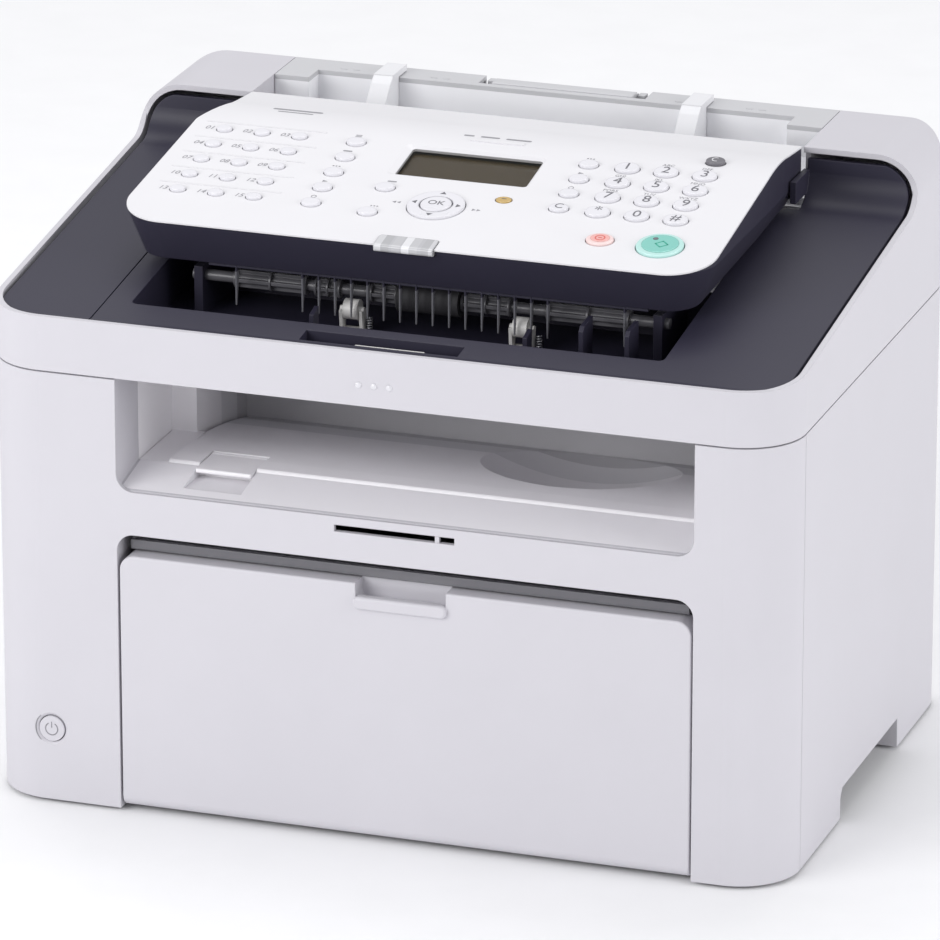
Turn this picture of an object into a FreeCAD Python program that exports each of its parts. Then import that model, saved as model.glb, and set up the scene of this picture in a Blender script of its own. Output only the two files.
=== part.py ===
import FreeCAD, Part
import math
import os

# Compact laser fax machine, millimetres.
# Shapes are drawn with y measured back from the front face and are moved at the
# end, so that the origin is the centre of the footprint, on the table. +Z is up
# and the front faces -Y.

# ---------------------------------------------------------------- dimensions
WIDTH = 372.0
DEPTH = 262.0
HALF = WIDTH / 2
WALL = 2.6
GAP = 0.35
FRONT_RADIUS = 28.0
REAR_RADIUS = 24.0
BOTTOM = 1.5
ARCH_TOP = 15.5
ARCH_FRONT = 91.0
ARCH_REAR = 183.0
SEAM = 204.0

# Opening of the output bay and of the paper tray, both to the right of centre.
BAY_LEFT = -122.0
BAY_RIGHT = 144.6
BAY_LIP = 152.0
RECESS_TOP = 132.0
OPENING_RADIUS = 8.0

# Rim of the upper unit, its shoulders and the hinge at the back.
RIM_FRONT = 229.5
RIM_START = 8.0
RIM_SLOPE = 0.125
SHOULDER_Y = 203.0
SHOULDER_TOP = 276.4
SHOULDER_X = 132.0
SHOULDER_RADIUS = 20.0
UNIT_AXIS = (256.0, 199.5)
HINGE_X = 148.0
PIN = 2.5

# Operation panel: a flat front part that tilts towards the user, then a crown.
PANEL_LEFT = -139.0
PANEL_LEFT_FRONT = -141.8
PANEL_RIGHT = 132.0
PANEL_FRONT = 51.6
PANEL_REAR = 202.4
PANEL_NECK = 131.3
PANEL_FRONT_Z = 261.5
PANEL_SLOPE = 0.172
PANEL_FLAT_END = 147.0
PANEL_RADIUS = 21.0
PANEL_RIM = 0.8
SHELL_LOW = 241.0
SHELL_DRAFT = 8.2
PLATE = 2.5
PANEL_AXIS = (186.0, 262.0)
KEY_TILT = math.degrees(math.atan(PANEL_SLOPE))
KEY_PROUD = 1.3
KEY_CLEAR = 0.4
OK_CLEAR = 0.6

# Document exit well and feed roller under the panel.
WELL_LEFT = -124.0
WELL_RIGHT = 122.0
WELL_FRONT = 26.0
WELL_FLOOR = 213.0
ROLLER_AXIS = (74.0, 231.2)

# Tray door and its hinge along the bottom edge.
DOOR_TOP = 122.0
SCOOP = (64.0, 108.0, 257.0, 114.0)
DOOR_AXIS = (5.0, 7.5)
DOOR_GAP = 0.9

V = FreeCAD.Vector


# ------------------------------------------------------------------- helpers
def box(x0, x1, y0, y1, z0, z1):
    """Box between two corners."""
    return Part.makeBox(x1 - x0, y1 - y0, z1 - z0, V(x0, y0, z0))


def rod_x(x0, x1, y, z, r):
    """Cylinder along X."""
    return Part.makeCylinder(r, x1 - x0, V(x0, y, z), V(1, 0, 0))


def rod_y(x, y0, y1, z, r):
    """Cylinder along Y."""
    return Part.makeCylinder(r, y1 - y0, V(x, y0, z), V(0, 1, 0))


def rod_z(x, y, z0, z1, r):
    """Cylinder along Z."""
    return Part.makeCylinder(r, z1 - z0, V(x, y, z0), V(0, 0, 1))


def rounded_wire(x0, x1, y0, y1, radii, z):
    """Rectangle in plan with one radius per corner, starting at x0, y0."""
    corners = [(x0, y0, 1, 1), (x1, y0, -1, 1), (x1, y1, -1, -1), (x0, y1, 1, -1)]
    edges = []
    ends = []
    for index, (cx, cy, sx, sy) in enumerate(corners):
        r = radii[index]
        along_x = V(cx + sx * r, cy, z)
        along_y = V(cx, cy + sy * r, z)
        k = r * (1 - math.sqrt(0.5))
        mid = V(cx + sx * k, cy + sy * k, z)
        first, last = (along_y, along_x) if index % 2 == 0 else (along_x, along_y)
        ends.append((first, last))
        if r > 0:
            edges.append(Part.Arc(first, mid, last).toShape())
    for index in range(4):
        a = ends[index][1]
        b = ends[(index + 1) % 4][0]
        if a.distanceToPoint(b) > 1e-6:
            edges.append(Part.makeLine(a, b))
    return Part.Wire(Part.__sortEdges__(edges))


def slab(x0, x1, y0, y1, z0, z1, radii):
    """Upright block with rounded plan corners."""
    wire = rounded_wire(x0, x1, y0, y1, radii, z0)
    return Part.Face(wire).extrude(V(0, 0, z1 - z0))


def rounded_front_window(x0, x1, z0, z1, radii, y0, y1):
    """Block along Y whose front view is a rounded rectangle."""
    wire = rounded_wire(x0, x1, z0, z1, radii, 0)
    block = Part.Face(wire).extrude(V(0, 0, y1 - y0))
    block.rotate(V(0, 0, 0), V(1, 0, 0), 90)
    block.translate(V(0, y1, 0))
    return block


def side_prism(points, x0, x1):
    """Outline in Y and Z pushed along X. An entry of three points is an arc."""
    edges = []
    last = None
    first = None
    for entry in points:
        if len(entry) == 3:
            a, b, c = [V(x0, p[0], p[1]) for p in entry]
            if last is not None and last.distanceToPoint(a) > 1e-6:
                edges.append(Part.makeLine(last, a))
            edges.append(Part.Arc(a, b, c).toShape())
            start, last = a, c
        else:
            start = V(x0, entry[0], entry[1])
            if last is not None:
                edges.append(Part.makeLine(last, start))
            last = start
        if first is None:
            first = start
    edges.append(Part.makeLine(last, first))
    return Part.Face(Part.Wire(edges)).extrude(V(x1 - x0, 0, 0))


def soften(shape, radius, wanted):
    """Round the edges that wanted(edge) picks; keep the shape if that fails."""
    edges = [edge for edge in shape.Edges if wanted(edge)]
    if not edges:
        return shape
    try:
        done = shape.makeFillet(radius, edges)
    except Exception:
        return shape
    return done if done.isValid() and done.Volume > 0 else shape


def save(name, shape):
    """Write one sub-part, moved so that the footprint is centred."""
    moved = shape.copy()
    moved.translate(V(0, -DEPTH / 2, 0))
    moved.exportStep("parts/" + name + ".step")


def fused(shapes):
    """One solid from overlapping shapes."""
    whole = shapes[0]
    for other in shapes[1:]:
        whole = whole.fuse(other)
    return whole.removeSplitter()


# ------------------------------------------------------------ shared outlines
def footprint(inset, z0, z1):
    """The casing's plan, inset from its outer face."""
    front = FRONT_RADIUS - inset
    rear = REAR_RADIUS - inset
    radii = [front, front, rear, rear]
    return slab(-HALF + inset, HALF - inset, inset, DEPTH - inset, z0, z1, radii)


def rim_z(y):
    """Height of the white rim at the sides."""
    return RIM_FRONT + RIM_SLOPE * max(0.0, y - RIM_START)


def rim_outline(drop, rear_shift, top_drop):
    """Side outline of the upper unit: rim, concave turn and shoulder."""
    turn = 13.0
    front_y = SHOULDER_Y + rear_shift
    low = rim_z(front_y - turn) - drop
    mid = (front_y - turn * 0.29, low + turn * 0.36)
    high = (front_y, low + turn * 1.05)
    curve = ((front_y - turn, low), mid, high)
    start = (RIM_START, RIM_FRONT - drop)
    return start, curve, (front_y, SHOULDER_TOP - top_drop)


def shoulder_section(inset, y0, y1):
    """Front view of the casing: flat top with rounded outer edges."""
    r = SHOULDER_RADIUS - inset
    half = HALF - inset
    radii = [0, 0, r, r]
    return rounded_front_window(-half, half, 180.0, SHOULDER_TOP - inset, radii, y0, y1)


def panel_curve(drop):
    """Side curve of the panel's top face, lowered by drop."""
    flat_z = PANEL_FRONT_Z + PANEL_SLOPE * (PANEL_FLAT_END - PANEL_FRONT)
    front = (PANEL_FRONT - 6.0, PANEL_FRONT_Z - 6.0 * PANEL_SLOPE - drop)
    bend_start = (PANEL_FLAT_END, flat_z - drop)
    bend_mid = (PANEL_FLAT_END + 16.0, flat_z + 1.75 - drop)
    bend_end = (PANEL_FLAT_END + 34.0, flat_z + 0.75 - drop)
    rear = (PANEL_REAR + 4.0, flat_z - 1.5 - drop)
    return front, (bend_start, bend_mid, bend_end), rear


def panel_z(y):
    """Height of the panel's top face in its flat front part."""
    return PANEL_FRONT_Z + PANEL_SLOPE * (y - PANEL_FRONT)


def panel_outline(inset, z):
    """Outline of the panel: rounded front corners, narrower neck at the back."""
    r = PANEL_RADIUS - inset
    k = r * (1 - math.sqrt(0.5))
    left = PANEL_LEFT_FRONT + inset
    right = PANEL_RIGHT - inset
    front = PANEL_FRONT + inset
    rear = PANEL_REAR - inset
    neck = PANEL_NECK - inset
    shoulder = 176.0
    waist = 150.0
    a = V(left, front + r, z)
    b = V(left + r, front, z)
    c = V(right - r, front, z)
    d = V(right, front + r, z)
    left_arc = Part.Arc(a, V(left + k, front + k, z), b).toShape()
    right_arc = Part.Arc(c, V(right - k, front + k, z), d).toShape()
    path = [d, V(right, waist, z), V(neck, shoulder, z), V(neck, rear, z)]
    path += [V(-neck, rear, z), V(-neck, shoulder, z), V(PANEL_LEFT + inset, waist, z), a]
    edges = [left_arc, Part.makeLine(b, c), right_arc]
    for start, end in zip(path, path[1:]):
        edges.append(Part.makeLine(start, end))
    return Part.Wire(edges)


def panel_plan(inset, z0, z1):
    """Upright block with the panel's outline."""
    return Part.Face(panel_outline(inset, z0)).extrude(V(0, 0, z1 - z0))


def drafted_plan(inset):
    """Block with the panel's outline whose lower part draws in."""
    low = panel_outline(inset + SHELL_DRAFT, SHELL_LOW)
    high = panel_outline(inset, PANEL_FRONT_Z)
    taper = Part.makeLoft([low, high], True, True)
    return taper.fuse(panel_plan(inset, PANEL_FRONT_Z, 320))


# ------------------------------------------------------------------ casing
def arch_cut():
    """Raised stretch of the side covers' lower edge between the feet."""
    low = BOTTOM - 5
    start = (ARCH_FRONT, low)
    lift = (ARCH_FRONT, ARCH_TOP - 4)
    top_front = (ARCH_FRONT + 3, ARCH_TOP)
    top_rear = (ARCH_REAR, ARCH_TOP)
    end = (ARCH_REAR, low)
    return side_prism([start, lift, top_front, top_rear, end], -HALF - 5, HALF + 5)


def unit_clearance():
    """Room at the rear for the upper unit's back edge as it tips."""
    points = [(250.0, SEAM + 5), (250.0, SEAM - GAP), (257.0, 202.0), (260.0, 200.4)]
    points += [(DEPTH, 198.6), (DEPTH + 5, 196.0), (DEPTH + 5, SEAM + 5)]
    return side_prism(points, -HALF - 5, HALF + 5)


def front_shell():
    """Front of the lower casing with both round corners and the bay's shelf."""
    top = SEAM - GAP
    shell = footprint(0, BOTTOM, top).cut(footprint(WALL, BOTTOM - 1, top + 1))
    shell = shell.common(box(-HALF - 1, HALF + 1, -1, FRONT_RADIUS, 0, 300))
    r = OPENING_RADIUS
    bay = rounded_front_window(BAY_LEFT, BAY_RIGHT, BAY_LIP, 230, [r, r, 0, 0], -1, WALL + 1)
    recess = rounded_front_window(BAY_LEFT, BAY_RIGHT, -20, RECESS_TOP, [0, 0, r, r], -1, WALL + 1)
    shell = shell.cut(bay).cut(recess)
    shell = shell.cut(box(BAY_LEFT - 1, BAY_RIGHT + 1, WALL - 1, WALL + 1, -1, -0.5))
    left_return = box(BAY_LEFT - WALL, BAY_LEFT, WALL - 0.5, FRONT_RADIUS, BOTTOM, RECESS_TOP)
    right_return = box(BAY_RIGHT, BAY_RIGHT + WALL, WALL - 0.5, FRONT_RADIUS, BOTTOM, RECESS_TOP)
    lintel = box(BAY_LEFT, BAY_RIGHT, WALL - 0.5, FRONT_RADIUS, RECESS_TOP, RECESS_TOP + 2)
    shell = fused([shell, left_return, right_return, lintel, bay_shelf()])
    shell = shell.cut(door_bore())
    slot = box(-20.0, 35.6, -1, WALL + 1, 145.0, 148.2)
    tick = box(26.4, 28.4, 0.6, WALL, 144.5, 149.0)
    shell = shell.cut(slot).fuse(tick)
    shell = shell.cut(power_seat())
    return shell.removeSplitter()


def door_bore():
    """Bearing holes of the tray door at both sides of the recess."""
    bore = PIN + 0.06
    return rod_x(BAY_LEFT - 3.4, BAY_RIGHT + 3.4, DOOR_AXIS[0], DOOR_AXIS[1], bore)


def bay_shelf():
    """Shelf behind the bay's lip, with the finger pocket and side cheeks."""
    rise = [(WALL - 0.5, BAY_LIP - 2.4), (WALL - 0.5, BAY_LIP + 0.3)]
    rise += [(28.0, BAY_LIP + 5.6), (28.0, BAY_LIP + 3.2)]
    shelf = side_prism(rise, BAY_LEFT - WALL, BAY_RIGHT + WALL)
    pocket = box(-93.6, -66.4, 9.0, 40.0, BAY_LIP + 1.2, BAY_LIP + 20)
    pocket_floor = box(-95.2, -64.8, 7.5, 27.9, BAY_LIP - 1.8, BAY_LIP + 2.6)
    under = [(0, 140), (0, BAY_LIP - 0.2), (28, BAY_LIP + 5.4), (28, 140)]
    pocket_floor = pocket_floor.common(side_prism(under, -200, 200))
    left = box(BAY_LEFT - WALL, BAY_LEFT, WALL - 0.5, 28.0, RECESS_TOP, SEAM - GAP)
    right = box(BAY_RIGHT, BAY_RIGHT + WALL, WALL - 0.5, 28.0, RECESS_TOP, SEAM - GAP)
    body = fused([shelf, pocket_floor, left, right])
    return body.cut(pocket)


def power_seat():
    """Round hole of the power button with a dished edge."""
    x, z = -154.6, 35.4
    hole = rod_y(x, -1, WALL + 1, z, 6.4)
    dish = Part.makeCone(7.6, 6.3, 0.9, V(x, -0.01, z), V(0, 1, 0))
    return hole.fuse(dish)


def side_cover(sign):
    """Side of the lower casing with its rear corner and the arch below."""
    top = SEAM - GAP
    shell = footprint(0, BOTTOM, top).cut(footprint(WALL, BOTTOM - 1, top + 1))
    edge = HALF - REAR_RADIUS
    if sign > 0:
        keep = box(edge + 0.2, HALF + 1, FRONT_RADIUS + GAP, DEPTH + 1, 0, 300)
    else:
        keep = box(-HALF - 1, -edge - 0.2, FRONT_RADIUS + GAP, DEPTH + 1, 0, 300)
    shell = shell.common(keep)
    outer = HALF - WALL
    inner = HALF - 14.0
    for y0, y1 in ((ARCH_REAR, ARCH_REAR + WALL), (ARCH_FRONT - WALL, ARCH_FRONT)):
        x0, x1 = (inner, outer + 0.5) if sign > 0 else (-outer - 0.5, -inner)
        shell = shell.fuse(box(x0, x1, y0, y1, BOTTOM, ARCH_TOP))
    return shell.cut(arch_cut()).cut(unit_clearance()).removeSplitter()


def rear_cover():
    """Back panel with openings for mains and telephone line."""
    edge = HALF - REAR_RADIUS - 0.2
    plate = box(-edge, edge, DEPTH - WALL, DEPTH, BOTTOM, 198.4)
    for sign in (-1, 1):
        x = sign * HINGE_X
        plate = plate.cut(box(x - 13.0, x + 13.0, DEPTH - 5, DEPTH + 1, 193.4, 220))
    for x, z in screw_places():
        plate = plate.cut(rod_y(x, DEPTH - 5, DEPTH + 1, z, 1.8))
        plate = plate.cut(rod_y(x, DEPTH - 1.4, DEPTH + 1, z, 3.8))
    plate = plate.cut(box(-140.4, -111.6, DEPTH - 5, DEPTH + 1, 21.6, 44.4))
    plate = plate.cut(box(107.6, 124.4, DEPTH - 5, DEPTH + 1, 27.6, 40.4))
    plate = plate.cut(box(127.6, 144.4, DEPTH - 5, DEPTH + 1, 27.6, 40.4))
    for row in range(6):
        z = 120.0 + row * 8.0
        plate = plate.cut(box(-60, 60, DEPTH - 5, DEPTH + 1, z, z + 3.0))
    return plate


def screw_places():
    """Centres of the screws that hold the rear cover."""
    places = []
    for x in (-150.0, 0.0, 150.0):
        for z in (12.0, 178.0):
            places.append((x, z))
    return places


def casing_screws():
    """Cross-head screws of the rear cover."""
    screws = []
    for x, z in screw_places():
        head = rod_y(x, DEPTH - 1.3, DEPTH + 0.3, z, 3.3)
        cross = box(x - 2.2, x + 2.2, DEPTH - 0.5, DEPTH + 1, z - 0.45, z + 0.45)
        cross = cross.fuse(box(x - 0.45, x + 0.45, DEPTH - 0.5, DEPTH + 1, z - 2.2, z + 2.2))
        shank = rod_y(x, DEPTH - 10.0, DEPTH - 1.3, z, 1.45)
        screws.append(head.cut(cross).fuse(shank))
    return Part.makeCompound(screws)


def base_frame():
    """Steel tray, two upright frames and the bosses that carry the rest."""
    floor = box(-178.0, 178.0, 30.0, 248.0, 16.5, 18.0)
    left = box(-150.0, -148.0, 32.0, 248.0, 17.0, 132.0)
    right = box(158.0, 160.0, 32.0, 248.0, 17.0, 132.0)
    rear_bar = box(-150.0, 160.0, 246.0, 248.0, 17.0, 118.0)
    laser_bridge = box(-150.0, 160.0, 50.0, 132.0, 101.0, 102.5)
    pads = []
    for x in (-160.0, 160.0):
        for y in (44.0, 236.0):
            pads.append(box(x - 12, x + 12, y - 12, y + 12, 3.0, 17.0))
    posts = []
    for sign in (-1, 1):
        for offset in (-12.0, 10.0):
            x = sign * HINGE_X + offset
            posts.append(box(x, x + 2, 246.0, 259.0, 62.0, 190.5))
            posts.append(rod_x(x, x + 2, UNIT_AXIS[0], UNIT_AXIS[1], 4.4))
            posts.append(box(x, x + 2, 251.6, 258.5, 190.0, UNIT_AXIS[1] + 1))
        pin_start = sign * HINGE_X - 12.0
        posts.append(rod_x(pin_start, pin_start + 24.0, UNIT_AXIS[0], UNIT_AXIS[1], PIN))
    bosses = []
    for x, z in screw_places():
        boss = rod_y(x, 247.0, DEPTH - WALL - 0.2, z, 4.0)
        bosses.append(boss)
        low, high = (10.0, 20.0) if z < 20 else (112.0, z + 2)
        bosses.append(box(x - 4, x + 4, 246.0, 248.0, low, high))
    frame = fused([floor, left, right, rear_bar, laser_bridge] + pads + posts + bosses)
    for x, z in screw_places():
        frame = frame.cut(rod_y(x, 240.0, DEPTH, z, 1.5))
    roller_hole = rod_x(-170, 170, 168.0, 66.0, 4.06)
    return frame.cut(roller_hole)


def rubber_feet():
    """Four feet under the frame's pads."""
    feet = []
    for x in (-160.0, 160.0):
        for y in (44.0, 236.0):
            foot = rod_z(x, y, 0.0, 2.95, 9.0)
            feet.append(soften(foot, 0.7, lambda edge: edge.CenterOfMass.z < 0.1))
    return Part.makeCompound(feet)


# -------------------------------------------------------------- output side
def tray_surface(extra):
    """Side outline of the output tray, from its front crest to the rear."""
    top = BAY_LIP + 6.4
    outline = [(28.4, top - 4.0), ((28.4, top - 1.2), (28.9, top - 0.3), (30.0, top + extra))]
    outline += [((40.0, top + 0.4), (85.0, top - 3.6), (134.0, top - 14.0))]
    outline += [(134.0, top - 16.6), ((134.0, top - 16.8), (85.0, top - 6.4), (40.0, top - 2.4))]
    outline += [(32.0, top - 3.0), (32.0, top - 6.0), (28.4, top - 6.0)]
    return outline


def output_tray():
    """Tray of the bay with its side walls, back wall and round scoop."""
    top = SEAM - 0.8
    tray = side_prism(tray_surface(0.4), -108.0, BAY_RIGHT - GAP)
    side = side_prism([(28.4, 148.0), (28.4, 157.6), (72.0, 157.6), (72.0, 148.0)], BAY_LEFT + GAP, -107.0)
    left_a = box(BAY_LEFT - WALL, BAY_LEFT, 28.4, 72.0, 132.0, top)
    left_b = box(BAY_LEFT - WALL, -110.0, 69.6, 72.0, 132.0, top)
    left_c = box(-112.4, -110.0, 69.6, 134.0, 132.0, top)
    left_foot = box(-110.5, -107.0, 71.0, 134.0, 139.0, 143.0)
    right = box(BAY_RIGHT - 0.5, BAY_RIGHT + WALL, 28.4, 134.0, 132.0, top)
    back = box(-112.4, BAY_RIGHT + WALL, 133.0, 135.5, 132.0, 182.0)
    back = back.fuse(box(-112.4, BAY_RIGHT + WALL, 133.0, 135.5, 199.5, top))
    ends = box(-112.4, -104.0, 133.0, 135.5, 132.0, top)
    ends = ends.fuse(box(BAY_RIGHT - 6, BAY_RIGHT + WALL, 133.0, 135.5, 132.0, top))
    body = fused([tray, side, left_a, left_b, left_c, left_foot, right, back, ends])
    centre = V(SCOOP[0], SCOOP[1], SCOOP[2])
    reach = box(-20, 140, 40, 132.6, 120, 164)
    scoop = Part.makeSphere(SCOOP[3], centre).common(reach)
    bowl = Part.makeSphere(SCOOP[3] + 2.2, centre).common(under_tray())
    body = body.fuse(bowl.common(box(-20, 140, 40, 133.4, 120, 164))).cut(scoop)
    body = body.fuse(box(-95.0, -65.0, 32.2, 48.0, 152.6, 156.6))
    seat = box(-93.4, -66.6, 27.0, 46.4, 155.0, 165.0)
    body = body.cut(seat)
    for x in (-107.6, 139.0):
        tab = box(x, x + 3.0, 135.0, 148.0, 184.0, 197.0)
        body = body.fuse(tab.cut(rod_x(x - 1, x + 4, 142.0, 190.5, 3.06)))
    return body.removeSplitter()


def under_tray():
    """Space below the tray's top face."""
    top = BAY_LIP + 6.4
    points = [(30.0, 100.0), ((40.0, top + 0.4), (85.0, top - 3.6), (134.0, top - 14.0)), (134.0, 100.0)]
    return side_prism(points, -200, 200)


def paper_stop():
    """Small flap that folds up at the front of the output tray."""
    flap = box(-93.0, -67.0, 22.4, 44.0, 156.2, 158.3)
    barrel = rod_x(-93.0, -67.0, 44.0, 157.0, 1.6)
    flap = fused([flap, barrel])
    return soften(flap, 0.8, lambda e: e.CenterOfMass.y < 22.6)


def roller_on_shaft(x0, x1, y, z, shaft_r, roller_r, spans):
    """Shaft with rubber sleeves at the given spans."""
    shaft = rod_x(x0, x1, y, z, shaft_r)
    sleeves = [rod_x(a, b, y, z, roller_r) for a, b in spans]
    return fused([shaft] + sleeves)


def exit_roller():
    """Roller that pushes the printed sheet into the bay."""
    spans = [(-80.0, -62.0), (-20.0, -2.0), (38.0, 56.0), (96.0, 114.0)]
    return roller_on_shaft(-107.0, 141.4, 142.0, 190.5, 3.0, 7.0, spans)


def pickup_roller():
    """Roller that takes the top sheet off the stack."""
    spans = [(-14.0, 36.0)]
    return roller_on_shaft(-154.0, 164.0, 168.0, 66.0, 4.0, 17.0, spans)


# -------------------------------------------------------------- paper supply
def tray_door():
    """Front door that folds down, with a lip to pull it open."""
    x0 = BAY_LEFT + DOOR_GAP
    x1 = BAY_RIGHT - DOOR_GAP
    r = OPENING_RADIUS - 1.0
    face = rounded_front_window(x0, x1, DOOR_AXIS[1], DOOR_TOP, [0, 0, r, r], 0.0, 2.6)
    inner = rounded_front_window(x0 + 2.4, x1 - 2.4, -10, DOOR_TOP - 2.4, [0, 0, r - 1, r - 1], 2.6, 30)
    flange = rounded_front_window(x0, x1, DOOR_AXIS[1], DOOR_TOP, [0, 0, r, r], 2.0, 12.0).cut(inner)
    barrel = rod_x(x0, x1, DOOR_AXIS[0], DOOR_AXIS[1], 5.0)
    relief = rod_x(x0 - 1, x1 + 1, DOOR_AXIS[0], DOOR_AXIS[1], 4.9)
    ribs = []
    for step in range(5):
        x = x0 + 30 + step * 51.0
        ribs.append(box(x, x + 1.6, 2.0, 7.0, DOOR_AXIS[1], DOOR_TOP - 2.0))
    face = fused([face, flange] + ribs)
    face = face.cut(rounded_front_window(-10.4, 31.6, DOOR_TOP - 9.0, DOOR_TOP + 9, [4, 4, 0, 0], -1, 9.8))
    grip = door_grip()
    pins = rod_x(x0 - 3.2, x1 + 3.2, DOOR_AXIS[0], DOOR_AXIS[1], PIN)
    door = fused([face, barrel, grip, pins])
    return soften(door, 1.0, door_front_edge)


def door_front_edge(edge):
    """Outer edges of the door's front face, above the hinge."""
    centre = edge.CenterOfMass
    flat = edge.BoundBox.YLength < 0.01 and abs(centre.y) < 0.01
    side = abs(centre.x - BAY_LEFT) < 4 or abs(centre.x - BAY_RIGHT) < 4
    return flat and (side or centre.z > DOOR_TOP - 0.2)


def door_grip():
    """Lip at the top centre of the door."""
    scoop = rounded_front_window(-12.0, 33.2, DOOR_TOP - 10.4, DOOR_TOP - 2.0, [4, 4, 0, 0], 1.2, 12.0)
    hollow = rounded_front_window(-10.4, 31.6, DOOR_TOP - 8.8, DOOR_TOP + 2, [3, 3, 0, 0], -4.0, 9.8)
    lip = rounded_front_window(-11.0, 32.2, DOOR_TOP - 11.6, DOOR_TOP - 5.6, [2.6] * 4, -2.2, 1.6)
    lip = soften(lip, 1.4, lambda e: abs(e.CenterOfMass.y + 2.2) < 0.01)
    return fused([scoop.cut(hollow), lip])


def dust_cover():
    """Smoked cover above the stack that pulls out over the open door."""
    x0 = BAY_LEFT + 4.0
    x1 = BAY_RIGHT - 4.0
    sheet = box(x0, x1, 9.0, 136.0, 124.2, 126.2)
    lip = box(x0, x1, 7.0, 9.5, 123.2, 127.4)
    parts = [sheet, lip]
    for y in (24.0, 40.0):
        parts.append(box(x0 + 10, x1 - 10, y, y + 1.6, 125.5, 127.4))
    for x in (x0, x1 - 1.6):
        parts.append(box(x, x + 1.6, 9.0, 136.0, 124.2, 128.4))
    return fused(parts)


def paper_guide(sign):
    """Side guide that centres the stack; both run on one rack."""
    centre = (BAY_LEFT + BAY_RIGHT) / 2
    wall = box(106.5, 108.5, 60.0, 130.0, 18.6, 48.0)
    foot = box(84.0, 108.5, 76.0, 114.0, 18.6, 20.6)
    rack_y = 90.0 if sign > 0 else 98.0
    rack = box(30.0, 86.0, rack_y, rack_y + 5.0, 18.6, 20.6)
    guide = fused([wall, foot, rack])
    if sign < 0:
        guide = guide.mirror(V(0, 0, 0), V(1, 0, 0))
    guide.translate(V(centre, 0, 0))
    return guide


# ---------------------------------------------------------------- print engine
def toner_cartridge():
    """Cartridge with its hopper, drum shutter and grip."""
    outline = [(140.6, 96.0), (140.6, 150.0), ((140.6, 150.0), (146.0, 166.0), (160.0, 172.0))]
    outline += [(188.0, 172.0), ((188.0, 172.0), (204.0, 164.0), (208.0, 148.0))]
    outline += [(208.0, 112.0), ((208.0, 112.0), (202.0, 100.0), (190.0, 96.0))]
    body = side_prism(outline, -118.0, 142.0)
    grip = box(-20.0, 44.0, 168.0, 176.0, 170.0, 182.0)
    grip = grip.cut(box(-12.0, 36.0, 160.0, 184.0, 173.5, 178.5))
    drum = rod_x(-122.0, 146.0, 180.0, 96.5, 12.0)
    return fused([body, grip, drum])


def laser_unit():
    """Laser and mirror box below the output tray."""
    case = box(-70.0, 80.0, 54.0, 130.0, 102.8, 118.0)
    lid = box(-66.0, 76.0, 58.0, 126.0, 117.5, 119.8)
    motor = rod_z(5.0, 88.0, 119.0, 122.8, 16.0)
    return fused([case, lid, motor])


def fuser_unit():
    """Heater frame with its pressure roller at the back of the path."""
    frame = box(-130.0, 152.0, 212.0, 244.0, 96.0, 126.0)
    frame = frame.cut(box(-122.0, 144.0, 216.0, 240.0, 90.0, 122.0))
    film = rod_x(-123.0, 145.0, 228.0, 111.0, 9.0)
    pressure = rod_x(-123.0, 145.0, 228.0, 94.0, 7.9)
    rods = rod_x(-123.0, 145.0, 228.0, 102.5, 2.5)
    return fused([frame, film, pressure, rods])


def main_board():
    """Control board on the left side."""
    board = box(-170.0, -168.4, 60.0, 230.0, 30.0, 150.0)
    parts = [board]
    chips = [(90.0, 60.0, 22.0), (130.0, 70.0, 30.0), (180.0, 60.0, 18.0), (100.0, 110.0, 16.0)]
    for y, z, size in chips:
        parts.append(box(-168.5, -165.4, y, y + size, z, z + size))
    for index in range(6):
        y = 150.0 + index * 11.0
        parts.append(rod_x(-168.5, -156.0, y, 120.0, 4.0))
    for z in (36.0, 136.0):
        parts.append(box(-168.5, -160.0, 70.0, 100.0, z, z + 7.0))
    stands = []
    for y in (66.0, 224.0):
        stands.append(rod_x(-168.5, -150.2, y, 34.0 if y < 100 else 40.0, 2.0))
    return fused(parts + stands)


def drive_unit():
    """Stepping motor and gear train on the right side."""
    motor = rod_x(160.2, 178.0, 110.0, 70.0, 20.0)
    solids = [motor]
    places = [(146.0, 84.0, 15.5, 32), (181.0, 100.0, 22.5, 46), (214.0, 126.0, 18.0, 36)]
    for y, z, r, teeth in places:
        solids.append(gear(162.0, 168.0, y, z, r, teeth))
    return Part.makeCompound(solids)


def gear(x0, x1, y, z, radius, teeth):
    """Spur gear with straight-sided teeth and a hub."""
    root = radius - 1.4
    points = []
    for index in range(teeth):
        base = 2 * math.pi * index / teeth
        for turn, r in ((0.0, root), (0.22, radius), (0.5, radius), (0.72, root)):
            a = base + turn * 2 * math.pi / teeth
            points.append(V(x0, y + r * math.cos(a), z + r * math.sin(a)))
    points.append(points[0])
    body = Part.Face(Part.makePolygon(points)).extrude(V(x1 - x0, 0, 0))
    return body.fuse(rod_x(160.3, x1 + 3.0, y, z, 3.5))


def power_inlet():
    """Mains inlet with two blades in its socket."""
    body = box(-140.0, -112.0, 248.4, DEPTH - 0.6, 22.0, 44.0)
    body = body.cut(box(-137.0, -115.0, 250.4, DEPTH + 1, 25.0, 41.0))
    for x in (-130.5, -123.0):
        body = body.fuse(box(x, x + 1.5, 250.0, 259.0, 29.0, 37.0))
    return body


def line_jacks():
    """Two modular sockets, for the line and for a telephone."""
    jacks = []
    for x in (108.0, 128.0):
        body = box(x, x + 16.0, 249.0, DEPTH - 0.6, 28.0, 40.0)
        body = body.cut(box(x + 2.5, x + 13.5, 251.0, DEPTH + 1, 30.0, 37.0))
        body = body.cut(box(x + 5.5, x + 10.5, 251.0, DEPTH + 1, 36.0, 38.6))
        jacks.append(body)
    return Part.makeCompound(jacks)


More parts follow.
